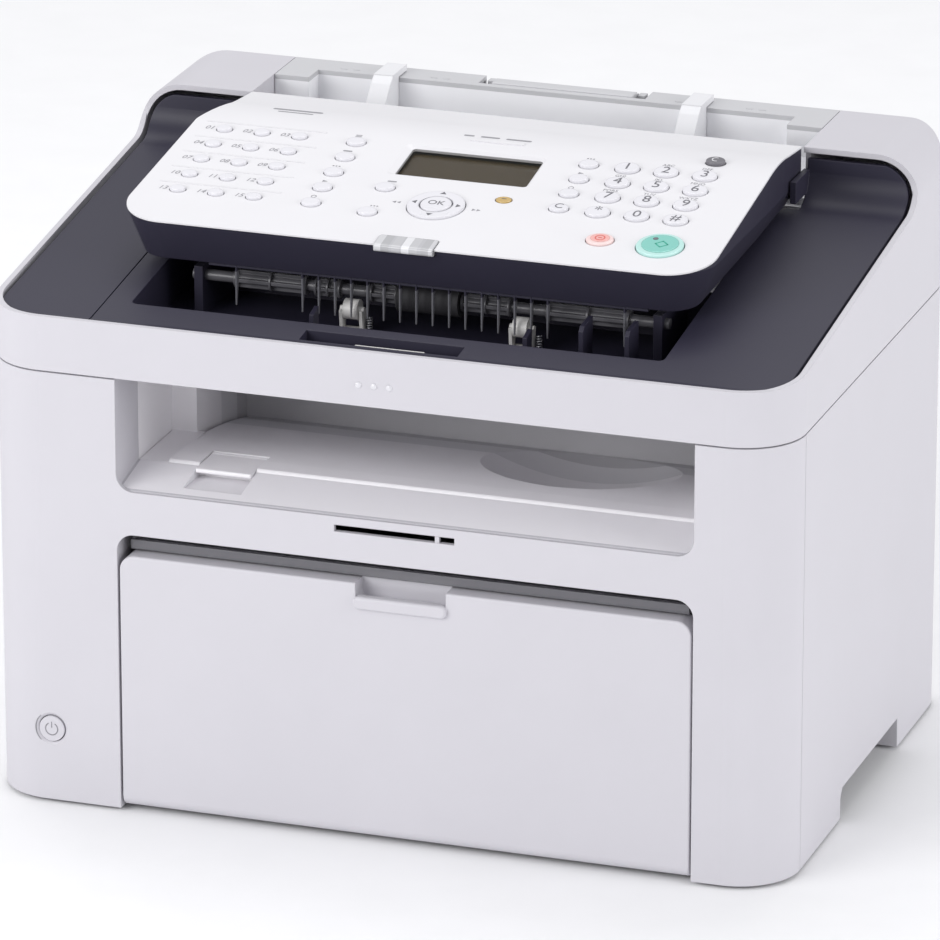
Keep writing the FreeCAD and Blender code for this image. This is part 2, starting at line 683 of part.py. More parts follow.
def power_button():
    """Round button low on the left pillar."""
    x, z = -154.6, 35.4
    cap = rod_y(x, -0.2, 9.0, z, 6.0)
    cap = soften(cap, 0.5, lambda e: e.CenterOfMass.y < 0)
    flange = rod_y(x, 4.6, 6.2, z, 8.2)
    return fused([cap, flange])


# ---------------------------------------------------------------- upper unit
def upper_housing():
    """White band, side walls and shoulders that tip up as one."""
    low = SEAM + GAP
    start, curve, top = rim_outline(0, 0, 0)
    outline = [(-5, low), (-5, RIM_FRONT), start, curve, (top[0], 300), (DEPTH + 5, 300), (DEPTH + 5, low)]
    body = footprint(0, low, 300).common(side_prism(outline, -HALF - 5, HALF + 5))
    body = body.common(shoulder_section(0, -5, DEPTH + 5))
    open_front = box(-HALF, HALF, -5, SHOULDER_Y - 1, low + 2.2, 320)
    hollow = footprint(WALL, low + 2.2, 320)
    hollow = hollow.common(shoulder_section(WALL, -5, DEPTH + 5).fuse(open_front))
    body = body.cut(hollow)
    middle = box(-SHOULDER_X, SHOULDER_X, 150.0, DEPTH + 5, 232.0, 320)
    body = body.cut(middle)
    walls = []
    for sign in (-1, 1):
        x = sign * SHOULDER_X if sign > 0 else -SHOULDER_X - 2.2
        wall = box(x, x + 2.2, SHOULDER_Y + 3.0, DEPTH - 0.5, low, 290)
        wall = wall.common(footprint(1.0, low, 290)).common(shoulder_section(1.0, -5, DEPTH + 5))
        walls.append(wall)
    body = fused([body] + walls)
    body = body.cut(box(-HALF + WALL, HALF - WALL, 60.0, 244.0, low - 1, low + 1.2))
    body = body.cut(box(-176, 176, 246.0, DEPTH - WALL, low - 1, low + 2.3))
    for sign in (-1, 1):
        x = sign * HINGE_X
        lug = rod_x(x - 8.0, x + 8.0, UNIT_AXIS[0], UNIT_AXIS[1], 5.0)
        lug = lug.fuse(box(x - 8.0, x + 8.0, 251.4, 258.6, UNIT_AXIS[1], low + 6.0))
        lug = lug.fuse(box(x - 8.0, x + 8.0, 240.0, 258.6, low + 2.0, low + 6.0))
        lug = lug.fuse(box(x - 8.0, x + 8.0, 240.0, 246.2, low + 1.2, low + 6.0))
        body = body.fuse(lug)
        body = body.cut(rod_x(x - 9.0, x + 9.0, UNIT_AXIS[0], UNIT_AXIS[1], PIN + 0.06))
    for index in range(3):
        x = -8.4 + index * 7.1
        body = body.fuse(Part.makeSphere(1.9, V(x, 1.15, 214.0)))
    return body.removeSplitter()


def deck_cover():
    """Dark deck inside the rim, turned up in front of the shoulders."""
    edge = WALL + GAP
    skin = 2.2
    start, curve, top = rim_outline(1.0, -0.3, 5.2)
    floor_start = (0, RIM_FRONT - 1.0 - skin)
    outline = [floor_start, (0, RIM_FRONT - 1.0), start, curve, top]
    outline += [(top[0] + skin, top[1])]
    low_start, low_curve, unused = rim_outline(1.0 + skin, -0.3 + skin, 5.2)
    outline += [tuple(reversed(low_curve)), (RIM_START, RIM_FRONT - 1.0 - skin)]
    sheet = side_prism(outline, -HALF, HALF)
    plan = footprint(edge, 200, 320)
    sheet = sheet.common(plan).common(shoulder_section(4.6, -5, DEPTH + 5))
    middle = box(-SHOULDER_X - 2.0, SHOULDER_X + 2.0, 190.0, DEPTH, 225.0, 320)
    sheet = sheet.cut(middle)
    well = slab(WELL_LEFT, WELL_RIGHT, WELL_FRONT, 230.0, 200, 320, [3, 3, 0, 0])
    sheet = sheet.cut(well)
    seam = box(-136.0, -135.4, 0, 240, 227.6, 300).common(sheet)
    deep = [(0, 200), (0, RIM_FRONT - 2.0), (RIM_START, RIM_FRONT - 2.0)]
    deep += [(188, rim_z(188) - 2.0), (188, 200)]
    seam = seam.cut(side_prism(deep, -200, 200))
    sheet = sheet.cut(seam)
    sheet = sheet.cut(box(-39.0, 34.0, 9.0, 19.0, 220, 240))
    groove = box(-40.2, 35.2, 7.8, 20.2, 222.4, 228.4).cut(box(-39.0, 34.0, 9.0, 19.0, 223.6, 240))
    finger = box(-15.0, 18.0, 12.4, 13.6, 223.0, 227.2)
    body = fused([sheet, groove, finger, well_walls()])
    return body


def well_walls():
    """Walls, floor and fins of the document exit."""
    t = 1.8
    wall_top = RIM_FRONT - 1.5
    front = box(WELL_LEFT - t, WELL_RIGHT + t, WELL_FRONT - t, WELL_FRONT, WELL_FLOOR - t, wall_top)
    side_outline = [(WELL_FRONT - t, WELL_FLOOR - t), (WELL_FRONT - t, wall_top)]
    side_outline += [(108.0, rim_z(108.0) - 2.0), (108.0, WELL_FLOOR - t)]
    left = side_prism(side_outline, WELL_LEFT - t, WELL_LEFT)
    right = side_prism(side_outline, WELL_RIGHT, WELL_RIGHT + t)
    floor_outline = [(WELL_FRONT - t, WELL_FLOOR - t), (WELL_FRONT - t, WELL_FLOOR), (60.0, WELL_FLOOR + 1.0)]
    floor_outline += [(108.0, WELL_FLOOR + 1.0), (108.0, WELL_FLOOR - t)]
    floor = side_prism(floor_outline, WELL_LEFT - t, WELL_RIGHT + t)
    back = box(WELL_LEFT - t, WELL_RIGHT + t, 106.2, 108.0, WELL_FLOOR - t, 236.0)
    fins = []
    for x in (77.0, 98.0):
        tall = [(46.0, WELL_FLOOR), (46.0, 233.0), (48.0, 235.0), (60.0, 236.0), (60.0, WELL_FLOOR)]
        fins.append(side_prism(tall, x, x + 2.0))
    for x in (-48.0, 51.0):
        low = [(46.0, WELL_FLOOR), (47.0, 227.0), (54.0, 229.0), (54.0, WELL_FLOOR)]
        fins.append(side_prism(low, x, x + 2.0))
    for x in (WELL_LEFT + 14.0, WELL_RIGHT - 18.0):
        block = box(x, x + 4.0, 68.5, 106.5, WELL_FLOOR, 236.4)
        block = block.cut(rod_x(x - 1, x + 5, ROLLER_AXIS[0], ROLLER_AXIS[1], 2.56))
        fins.append(block)
    return fused([front, left, right, floor, back] + fins)


def feed_roller():
    """Ribbed shaft with one rubber roller that drives the document out."""
    y, z = ROLLER_AXIS
    core = rod_x(WELL_LEFT + 12.0, WELL_RIGHT - 12.0, y, z, 2.5)
    parts = [core]
    spans = [(-92.0, -58.0), (-54.0, -42.0), (-28.0, -15.4), (14.4, 37.0), (54.0, 92.0)]
    for x0, x1 in spans:
        parts.append(box(x0, x1, y - 4.0, y + 4.0, z - 0.8, z + 0.8))
        parts.append(box(x0, x1, y - 0.8, y + 0.8, z - 4.0, z + 4.0))
        for x in (x0, (x0 + x1) / 2 - 0.5, x1 - 1.0):
            parts.append(rod_x(x, x + 1.0, y, z, 4.4))
    parts.append(rod_x(-15.0, 14.0, y, z, 7.0))
    return fused(parts)


def pinch_rollers():
    """Two sprung holders whose small rollers press the document down."""
    holders = []
    y, z = 67.6, 224.6
    for x in (-35.0, 44.0):
        wheel = rod_x(x - 3.4, x + 3.4, y, z, 4.6)
        cheek = [(y - 2, WELL_FLOOR + 1.3), (y - 3, z), (y + 3, z), (y + 2, WELL_FLOOR + 1.3)]
        fork = side_prism(cheek, x - 5.4, x - 3.9)
        other = side_prism(cheek, x + 3.9, x + 5.4)
        axle = rod_x(x - 5.6, x + 5.6, y, z, 1.3)
        foot = box(x - 5.4, x + 5.4, y - 2.0, y + 2.0, WELL_FLOOR + 1.2, WELL_FLOOR + 3.0)
        holders.append(fused([wheel, fork, other, axle, foot]))
    return Part.makeCompound(holders)


def image_sensor():
    """Contact image sensor bar with its glass, across the document path."""
    bar = box(-106.0, 104.0, 112.0, 128.0, 216.0, 229.0)
    glass = box(-104.0, 102.0, 114.0, 126.0, 228.5, 230.5)
    plug = box(-110.0, -105.5, 115.0, 125.0, 218.0, 226.0)
    return fused([bar, glass, plug])


# ------------------------------------------------------------ document feeder
def document_tray():
    """Light grey tray between the shoulders that takes the originals."""
    x = SHOULDER_X - GAP
    strip = box(-x, x, 246.0, DEPTH, 232.4, SHOULDER_TOP)
    strip = strip.cut(box(-x + 2, x - 2, 248.2, DEPTH - 2.2, 220, SHOULDER_TOP - 2.2))
    slope = side_prism([(208.0, 244.0), (208.0, 246.2), (247.0, 262.2), (247.0, 259.8)], -x, x)
    ends = []
    for x0, x1 in ((-x, -115.0), (115.0, x)):
        outline = [(209.4, 244.0), (209.4, 250.0), (233.0, 262.0), (233.0, SHOULDER_TOP)]
        outline += [(247.0, SHOULDER_TOP), (247.0, 244.0)]
        ends.append(side_prism(outline, x0, x1))
    feet = []
    for x0 in (-x, x - 10):
        feet.append(box(x0, x0 + 10, 208.0, 248.0, 208.0, 246.0))
    body = fused([strip, slope] + ends + feet)
    body = body.cut(box(-38.2, 42.2, 250.0, DEPTH + 1, SHOULDER_TOP - 6.0, 300))
    flap_floor = box(-40.0, 44.0, 248.0, DEPTH - 0.1, SHOULDER_TOP - 8.2, SHOULDER_TOP - 6.0)
    body = body.fuse(flap_floor)
    rail = box(-110.0, 98.0, 238.2, 241.8, 250.0, 270.0)
    body = body.cut(rail)
    axle = rod_y(-6.0, 237.6, 243.0, 245.0, 1.2)
    body = fused([body, axle, box(-9.0, -3.0, 242.4, 247.0, 240.0, 259.0)])
    for x0 in (-36.0, 36.6):
        body = body.fuse(box(x0, x0 + 3.4, 257.0, DEPTH - 0.6, SHOULDER_TOP - 6.2, SHOULDER_TOP - 0.8))
    body = body.cut(rod_x(-40, 44, 259.0, SHOULDER_TOP - 3.0, 1.26))
    return body.removeSplitter()


def document_flap():
    """Support that folds back behind the tray for long originals."""
    top = SHOULDER_TOP + 0.6
    plate = box(-32.0, 36.0, 250.6, 258.0, SHOULDER_TOP - 4.6, top)
    plate = soften(plate, 0.6, lambda e: abs(e.CenterOfMass.z - top) < 0.01)
    barrel = rod_x(-32.0, 36.0, 259.0, SHOULDER_TOP - 3.0, 2.4)
    pins = rod_x(-36.0, 40.0, 259.0, SHOULDER_TOP - 3.0, 1.2)
    return fused([plate, barrel, pins])


def document_guide(sign):
    """Sliding guide that stands on the tray and hooks over its edge."""
    centre = -6.0
    reach = 69.5
    lower = 5.0
    upright = [(214.4, 250.6), (226.0, 255.6), (242.0, 262.2), (245.6, 263.8), (245.6, 277.0)]
    upright += [(254.0, 277.0), (254.0, 279.2), (238.0, 279.2), (234.0, 276.4), (214.4, 256.0)]
    block = side_prism(upright, reach, reach + 9.5)
    hook = box(reach, reach + 9.5, 238.0, 257.0, 276.8, 279.6)
    stem = box(reach + 1.5, reach + 8.0, 238.6, 241.4, 246.0, 264.0)
    rack_z = 248.8 if sign > 0 else 238.8
    rack = box(6.0, reach + 8.0, 238.6, 241.4, rack_z, rack_z + 2.4)
    link = box(reach + 1.5, reach + 8.0, 238.6, 241.4, rack_z, 252.0)
    guide = fused([block, hook, stem, rack, link])
    if sign < 0:
        guide = guide.mirror(V(0, 0, 0), V(1, 0, 0))
    guide.translate(V(centre, 0, 0))
    return guide


def guide_pinion():
    """Pinion between the two racks, so that both guides move together."""
    teeth = 12
    points = []
    for index in range(teeth):
        for turn, r in ((0.0, 2.9), (0.25, 3.65), (0.5, 3.65), (0.75, 2.9)):
            a = 2 * math.pi * (index + turn) / teeth
            points.append(V(-6.0 + r * math.cos(a), 238.6, 245.0 + r * math.sin(a)))
    points.append(points[0])
    wheel = Part.Face(Part.makePolygon(points)).extrude(V(0, 2.8, 0))
    return wheel.cut(rod_y(-6.0, 230.0, 250.0, 245.0, 1.26))


# ------------------------------------------------------------- operation panel
def panel_block(drop_top, drop_bottom, inset):
    """Slice of the panel between two depths below its top face."""
    a_front, a_bend, a_rear = panel_curve(drop_top)
    b_front, b_bend, b_rear = panel_curve(drop_bottom)
    outline = [a_front, a_bend, a_rear, b_rear, tuple(reversed(b_bend)), b_front]
    return side_prism(outline, -HALF, HALF).common(panel_plan(inset, 200, 320))


def panel_point(x, y, depth):
    """Point at a depth below the panel's flat face."""
    a = math.radians(KEY_TILT)
    return V(x, y + depth * math.sin(a), panel_z(y) - depth * math.cos(a))


def set_on_panel(shape, x, y, lift=0.0):
    """Tilt a key drawn about the origin and set it on the panel."""
    placed = shape.copy()
    placed.rotate(V(0, 0, 0), V(1, 0, 0), KEY_TILT)
    placed.translate(panel_point(x, y, -lift))
    return placed


def oval(rx, ry, z0, z1):
    """Elliptical prism about the origin."""
    if abs(rx - ry) < 1e-6:
        return rod_z(0, 0, z0, z1, rx)
    major, minor = max(rx, ry), min(rx, ry)
    ellipse = Part.Ellipse(V(0, 0, z0), major, minor)
    face = Part.Face(Part.Wire([ellipse.toShape()]))
    prism = face.extrude(V(0, 0, z1 - z0))
    if ry > rx:
        prism.rotate(V(0, 0, 0), V(0, 0, 1), 90)
    return prism


def key_cap(rx, ry, proud=KEY_PROUD):
    """One key: a soft-edged cap that passes through the plate."""
    cap = oval(rx, ry, -3.6, proud)
    return soften(cap, 0.55, lambda e: abs(e.CenterOfMass.z - proud) < 0.01)


ONE_TOUCH = [(-122.5 + 18.0 * c, 142.0 - 15.0 * r) for r in range(5) for c in range(3)]
MODE = [(-59.5, 142.0 - 15.0 * r) for r in range(5)]
MENU = [(-32.0, 103.0), (-32.0, 79.0)]
SMALL = [(50.0, 143.0 - 14.3 * r) for r in range(4)]
NAV = (-4.0, 91.0)
OK = (-4.0, 91.0)
LAMP = (23.5, 103.0)
SAVER = (104.5, 157.6)
STOP = (77.0, 75.6)
START = (104.5, 75.6)
NUMBERS = ["1", "2", "3", "4", "5", "6", "7", "8", "9", "star", "0", "hash"]
NUMBER_PLACES = [(68.0 + 18.0 * (i % 3), 143.0 - 14.3 * (i // 3)) for i in range(12)]
SMALL_SIZE = (4.4, 3.6)
ONE_TOUCH_SIZE = (3.6, 2.8)
NUMBER_SIZE = (5.6, 4.7)
NAV_RADIUS = 13.0
OK_RADIUS = 7.0
START_RADIUS = 10.6
STOP_SIZE = (6.2, 5.4)
LCD = (-33.0, 28.4, 117.0, 144.4)


def key_holes():
    """Every opening of the plate for keys and lamps."""
    holes = []
    groups = [(ONE_TOUCH, ONE_TOUCH_SIZE), (MODE, SMALL_SIZE), (MENU, SMALL_SIZE)]
    groups += [(SMALL, SMALL_SIZE), (NUMBER_PLACES, NUMBER_SIZE), ([STOP], STOP_SIZE)]
    groups += [([START], (START_RADIUS, START_RADIUS)), ([NAV], (NAV_RADIUS, NAV_RADIUS))]
    groups += [([LAMP], (3.6, 2.9)), ([SAVER], SMALL_SIZE)]
    for places, (rx, ry) in groups:
        for x, y in places:
            hole = oval(rx + KEY_CLEAR, ry + KEY_CLEAR, -9.0, 6.0)
            holes.append(set_on_panel(hole, x, y))
    return Part.makeCompound(holes)


def lcd_cut():
    """Window opening with bevelled sides."""
    x0, x1, y0, y1 = LCD
    cx, cy = (x0 + x1) / 2, (y0 + y1) / 2
    hx, hy = (x1 - x0) / 2, (y1 - y0) / 2
    low = rounded_wire(-hx, hx, -hy, hy, [1.5] * 4, -1.3)
    high = rounded_wire(-hx - 4.6, hx + 1.6, -hy - 0.8, hy + 2.4, [2.5] * 4, 0.4)
    bevel = Part.makeLoft([low, high], True)
    through = slab(-hx, hx, -hy, hy, -9.0, 1.0, [1.5] * 4)
    return set_on_panel(bevel.fuse(through), cx, cy)


def panel_plate():
    """White face of the operation panel."""
    plate = panel_block(0, PANEL_RIM, 0)
    plate = soften(plate, 0.5, lambda e: plate_top_edge(e))
    plate = plate.fuse(panel_block(0.4, PLATE, 1.5))
    plate = plate.cut(key_holes())
    plate = plate.cut(lcd_cut())
    plate = plate.cut(tab_recess())
    return plate


def plate_top_edge(edge):
    """Edges around the top face of the plate, but not across it."""
    box_ = edge.BoundBox
    across = box_.XLength > 200 and box_.YLength < 0.1 and 60 < edge.CenterOfMass.y < 195
    upright = box_.XLength < 0.01 and box_.YLength < 0.6
    mid = edge.valueAt((edge.FirstParameter + edge.LastParameter) / 2)
    if across or upright:
        return False
    return mid.z > surface_z(mid.y) - 0.4


def surface_z(y):
    """Height of the plate's top face anywhere along it."""
    flat_end = panel_z(PANEL_FLAT_END)
    if y <= PANEL_FLAT_END:
        return panel_z(y)
    if y <= PANEL_FLAT_END + 34:
        return flat_end + 0.7
    return flat_end + 0.75 - (y - PANEL_FLAT_END - 34) * 2.25 / 25.4


def tab_recess():
    """Notch in the plate's front edge for the status light."""
    return slab(-19.4, 8.6, PANEL_FRONT - 5, PANEL_FRONT + 8.4, 255, 275, [0, 0, 1.4, 1.4])


def panel_shell():
    """Dark underside of the panel, hollow, with ribs over the exit."""
    a_front, a_bend, a_rear = panel_curve(PANEL_RIM + 0.02)
    low_rear = (PANEL_REAR - 14.0, 252.4)
    rear_low = (PANEL_REAR - 0.6, 262.0)
    outline = [a_front, a_bend, a_rear, (a_rear[0], rear_low[1])]
    outline += [rear_low, low_rear, (PANEL_FRONT - 2.0, SHELL_LOW)]
    outer = side_prism(outline, -HALF, HALF).common(drafted_plan(0.3))
    inner_outline = [(PANEL_FRONT, 300), (PANEL_REAR - 3.0, 300)]
    inner_outline += [(PANEL_REAR - 3.4, 264.0), (PANEL_REAR - 16.0, 254.8), (PANEL_FRONT, SHELL_LOW + 2.4)]
    inner = side_prism(inner_outline, -HALF, HALF).common(drafted_plan(3.4))
    shell = outer.cut(inner).cut(panel_block(-5.0, PLATE + 0.02, 1.4))
    ribs = []
    places = [-87.5, 92.9] + [-56.4 + 7.6 * k for k in range(16)]
    for x in places:
        blade = [(60.4, 242.4), (60.4, 229), (60.6, 223.0), (61.2, 223.0), (63.6, 236), (63.6, 242.4)]
        ribs.append(side_prism(blade, x, x + 0.6))
    bar = box(-100.0, 104.0, 60.6, 66.0, 240.4, 243.2)
    shell = fused([shell, bar] + ribs)
    tab = box(-19.6, 8.8, PANEL_FRONT - 1, PANEL_FRONT + 8.6, 258.0, 275)
    shell = shell.cut(tab)
    for sign in (-1, 1):
        x = sign * 128.0
        boss = rod_x(min(x, x + sign * 2.6), max(x, x + sign * 2.6), PANEL_AXIS[0], PANEL_AXIS[1], 5.0)
        shell = shell.fuse(boss)
    shell = shell.cut(rod_x(-131.5, -126.4, PANEL_AXIS[0], PANEL_AXIS[1], 2.06))
    shell = shell.cut(rod_x(126.4, 131.5, PANEL_AXIS[0], PANEL_AXIS[1], 2.06))
    return shell


def panel_hinge_ears():
    """Ears and pins on the deck that carry the panel."""
    ears = []
    y, z = PANEL_AXIS
    for sign in (-1, 1):
        inner = sign * 131.9
        x0, x1 = min(inner, inner + sign * 2.7), max(inner, inner + sign * 2.7)
        ear = box(x0, x1, y - 4.0, SHOULDER_Y + 1.0, z - 6.0, z + 4.0)
        pin_x0 = min(sign * 127.0, sign * 133.0)
        ears.append(fused([ear, rod_x(pin_x0, pin_x0 + 6.0, y, z, 2.0)]))
    return ears


def lcd_window():
    """Clear window of the display."""
    x0, x1, y0, y1 = LCD
    cx, cy = (x0 + x1) / 2, (y0 + y1) / 2
    hx, hy = (x1 - x0) / 2 - 0.1, (y1 - y0) / 2 - 0.1
    pane = slab(-hx, hx, -hy, hy, -2.6, -1.1, [1.4] * 4)
    flange = slab(-hx - 2, hx + 2, -hy - 2, hy + 2, -3.6, -2.6, [1.4] * 4)
    return set_on_panel(pane.fuse(flange), cx, cy)


def lcd_module():
    """Display glass in its frame."""
    x0, x1, y0, y1 = LCD
    cx, cy = (x0 + x1) / 2, (y0 + y1) / 2
    hx, hy = (x1 - x0) / 2, (y1 - y0) / 2
    glass = slab(-hx, hx, -hy, hy, -4.8, -3.7, [0.5] * 4)
    frame = slab(-hx - 2.5, hx + 2.5, -hy - 2.5, hy + 2.5, -6.0, -4.7, [1] * 4)
    return set_on_panel(glass.fuse(frame), cx, cy)


def indicator_lenses():
    """Clear status light in the panel's front edge and the error lamp."""
    tab = slab(-19.0, 8.2, PANEL_FRONT - 1.6, PANEL_FRONT + 8.0, 258.3, 270.0, [0, 0, 1.2, 1.2])
    cut_plane = side_prism([(40, 290), (40, panel_z(40) + 0.5), (70, panel_z(70) + 0.5), (70, 290)], -22, 12)
    tab = tab.cut(cut_plane)
    tab = soften(tab, 1.3, lambda e: e.BoundBox.XLength > 20 and e.CenterOfMass.y < PANEL_FRONT)
    lamp = oval(3.55, 2.85, -2.6, 0.4)
    lamp = soften(lamp, 0.3, lambda e: abs(e.CenterOfMass.z - 0.4) < 0.01)
    foot = oval(4.6, 3.9, -4.0, -2.7).fuse(oval(3.0, 2.4, -3.0, -2.0))
    return Part.makeCompound([tab, set_on_panel(lamp.fuse(foot), LAMP[0], LAMP[1])])


def panel_board():
    """Circuit board under the keys with its snap domes."""
    board = slab(-126.0, 122.0, -46.0, 46.0, -8.6, -7.0, [4] * 4)
    board = board.cut(slab(-30.0, 30.0, 10.0, 42.0, -9, -6, [1] * 4))
    return set_on_panel(board, 0.0, 106.0)


def key_group(places, size):
    """Several equal keys, each its own solid."""
    solids = []
    for x, y in places:
        solids.append(set_on_panel(key_cap(size[0], size[1]), x, y))
    return Part.makeCompound(solids)


def nav_ring():
    """Four-way ring around the OK key."""
    ring = key_cap(NAV_RADIUS, NAV_RADIUS, 1.1)
    ring = ring.cut(rod_z(0, 0, -9, 9, OK_RADIUS + OK_CLEAR))
    return set_on_panel(ring, NAV[0], NAV[1])


def single_key(place, rx, ry, proud=KEY_PROUD):
    """One key on the panel."""
    return set_on_panel(key_cap(rx, ry, proud), place[0], place[1])


# ----------------------------------------------------------------------- build
def build():
    """Write every sub-part."""
    os.makedirs("parts", exist_ok=True)
    save("base_frame", base_frame())
    save("front_shell", front_shell())
    save("side_cover_left", side_cover(-1))
    save("side_cover_right", side_cover(1))
    save("rear_cover", rear_cover())
    save("casing_screws", casing_screws())
    save("rubber_feet", rubber_feet())
    save("output_tray", output_tray())
    save("paper_stop", paper_stop())
    save("exit_roller", exit_roller())
    save("pickup_roller", pickup_roller())
    save("tray_door", tray_door())
    save("dust_cover", dust_cover())
    save("paper_guide_left", paper_guide(-1))
    save("paper_guide_right", paper_guide(1))
    save("toner_cartridge", toner_cartridge())
    save("laser_unit", laser_unit())
    save("fuser_unit", fuser_unit())
    save("main_board", main_board())
    save("drive_unit", drive_unit())
    save("power_inlet", power_inlet())
    save("line_jacks", line_jacks())
    save("power_button", power_button())
    save("upper_housing", upper_housing())
    save("deck_cover", fused([deck_cover()] + panel_hinge_ears()))
    save("feed_roller", feed_roller())
    save("pinch_rollers", pinch_rollers())
    save("image_sensor", image_sensor())
    save("document_tray", document_tray())
    save("document_flap", document_flap())
    save("document_guide_left", document_guide(-1))
    save("document_guide_right", document_guide(1))
    save("guide_pinion", guide_pinion())
    save("panel_plate", panel_plate())
    save("panel_shell", panel_shell())
    save("panel_board", panel_board())
    save("lcd_window", lcd_window())
    save("lcd_module", lcd_module())
    save("indicator_lenses", indicator_lenses())
    save("one_touch_keys", key_group(ONE_TOUCH, ONE_TOUCH_SIZE))
    save("mode_keys", key_group(MODE, SMALL_SIZE))
    save("menu_keys", key_group(MENU, SMALL_SIZE))
    save("small_keys", key_group(SMALL, SMALL_SIZE))
    save("nav_ring", nav_ring())
    save("ok_key", single_key(OK, OK_RADIUS, OK_RADIUS, 1.5))
    save("energy_saver_key", single_key(SAVER, SMALL_SIZE[0], SMALL_SIZE[1]))
    save("stop_key", single_key(STOP, STOP_SIZE[0], STOP_SIZE[1], 1.0))
    save("start_key", single_key(START, START_RADIUS, START_RADIUS, 1.1))
    for name, place in zip(NUMBERS, NUMBER_PLACES):
        save("key_" + name, single_key(place, NUMBER_SIZE[0], NUMBER_SIZE[1]))


build()
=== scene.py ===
import logging
import math
from dataclasses import dataclass, field, replace
from enum import Enum
from typing import Optional

import bmesh
import bpy
from mathutils import Matrix, Vector


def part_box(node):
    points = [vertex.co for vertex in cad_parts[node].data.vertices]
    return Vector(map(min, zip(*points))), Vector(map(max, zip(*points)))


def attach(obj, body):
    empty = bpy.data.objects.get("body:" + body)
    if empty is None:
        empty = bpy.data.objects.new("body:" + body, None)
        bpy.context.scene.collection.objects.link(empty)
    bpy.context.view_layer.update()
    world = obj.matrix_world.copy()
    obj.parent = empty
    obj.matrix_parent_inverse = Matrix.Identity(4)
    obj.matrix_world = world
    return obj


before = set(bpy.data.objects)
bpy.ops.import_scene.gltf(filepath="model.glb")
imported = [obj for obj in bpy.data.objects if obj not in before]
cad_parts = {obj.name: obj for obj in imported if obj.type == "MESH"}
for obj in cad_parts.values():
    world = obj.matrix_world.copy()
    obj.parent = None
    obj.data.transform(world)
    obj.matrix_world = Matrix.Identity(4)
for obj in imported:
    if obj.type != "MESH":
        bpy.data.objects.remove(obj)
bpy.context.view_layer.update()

MM = 0.001
UP = Vector((0.0, 0.0, 1.0))
BACK = Vector((0.0, 1.0, 0.0))
Colour = tuple[float, float, float]
log = logging.getLogger("fax_machine")


# --------------------------------------------------------------- small helpers
def shade(red: float, green: float, blue: float) -> Colour:
    """Turn display colour values into the linear values that shaders take.

    Args:
        red: Display value from 0 to 255.
        green: Display value from 0 to 255.
        blue: Display value from 0 to 255.

    Returns:
        Linear red, green and blue from 0 to 1.
    """
    linear = []
    for value in (red, green, blue):
        part = value / 255.0
        linear.append(part / 12.92 if part <= 0.04045 else ((part + 0.055) / 1.055) ** 2.4)
    return (linear[0], linear[1], linear[2])


def islands(node: str) -> list[tuple[Vector, Vector]]:
    """Find the separate solids of a CAD node.

    Args:
        node: Name of the CAD node.

    Returns:
        Lowest and highest corner of each solid.
    """
    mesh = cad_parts[node].data
    parent = list(range(len(mesh.vertices)))

    def root(index: int) -> int:
        """Return the first vertex of the group that holds this one."""
        while parent[index] != index:
            parent[index] = parent[parent[index]]
            index = parent[index]
        return index

    pairs = [tuple(edge.vertices) for edge in mesh.edges]
    seen: dict[tuple[int, ...], int] = {}
    for vertex in mesh.vertices:
        spot = tuple(round(value * 1e6) for value in vertex.co)
        pairs.append((vertex.index, seen.setdefault(spot, vertex.index)))
    for first, second in pairs:
        a, b = root(first), root(second)
        if a != b:
            parent[a] = b
    corners: dict[int, tuple[Vector, Vector]] = {}
    for vertex in mesh.vertices:
        key = root(vertex.index)
        low, high = corners.get(key, (vertex.co.copy(), vertex.co.copy()))
        for axis in range(3):
            low[axis] = min(low[axis], vertex.co[axis])
            high[axis] = max(high[axis], vertex.co[axis])
        corners[key] = (low, high)
    return list(corners.values())


def centres(node: str) -> list[Vector]:
    """Return the centre of each solid of a node, rear row first, left to right."""
    middle = [(low + high) / 2 for low, high in islands(node)]
    return sorted(middle, key=lambda p: (-round(p.y / (4 * MM)), p.x))


def touch(node: str, x: float, y: float) -> tuple[Vector, Vector]:
    """Find the top surface of a CAD node.

    Args:
        node: Name of the CAD node.
        x: Place to the right, in metres.
        y: Place towards the back, in metres.

    Returns:
        The point on the surface and the surface normal there.
    """
    hit, point, normal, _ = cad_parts[node].ray_cast(Vector((x, y, 0.5)), -UP)
    if not hit:
        raise ValueError(f"no surface of {node} at {x:.4f}, {y:.4f}")
    return point, normal


def touch_front(node: str, x: float, z: float) -> tuple[Vector, Vector]:
    """Find the front surface of a CAD node at a place across and up.

    Args:
        node: Name of the CAD node.
        x: Place to the right, in metres.
        z: Height, in metres.

    Returns:
        The point on the surface and the surface normal there.
    """
    hit, point, normal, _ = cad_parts[node].ray_cast(Vector((x, -0.5, z)), BACK)
    if not hit:
        raise ValueError(f"no front of {node} at {x:.4f}, {z:.4f}")
    return point, normal


def lay(point: Vector, normal: Vector, upright: Vector, lift: float) -> Matrix:
    """Make the placement of a flat drawing on a surface.

    Args:
        point: Where the drawing's centre goes.
        normal: Surface normal there.
        upright: Direction that the drawing's top points to.
        lift: Height above the surface, in metres.

    Returns:
        Matrix from drawing coordinates to the part's frame.
    """
    up = (upright - normal * upright.dot(normal)).normalized()
    right = up.cross(normal).normalized()
    turn = Matrix((right, up, normal)).transposed().to_4x4()
    return Matrix.Translation(point + normal * lift) @ turn


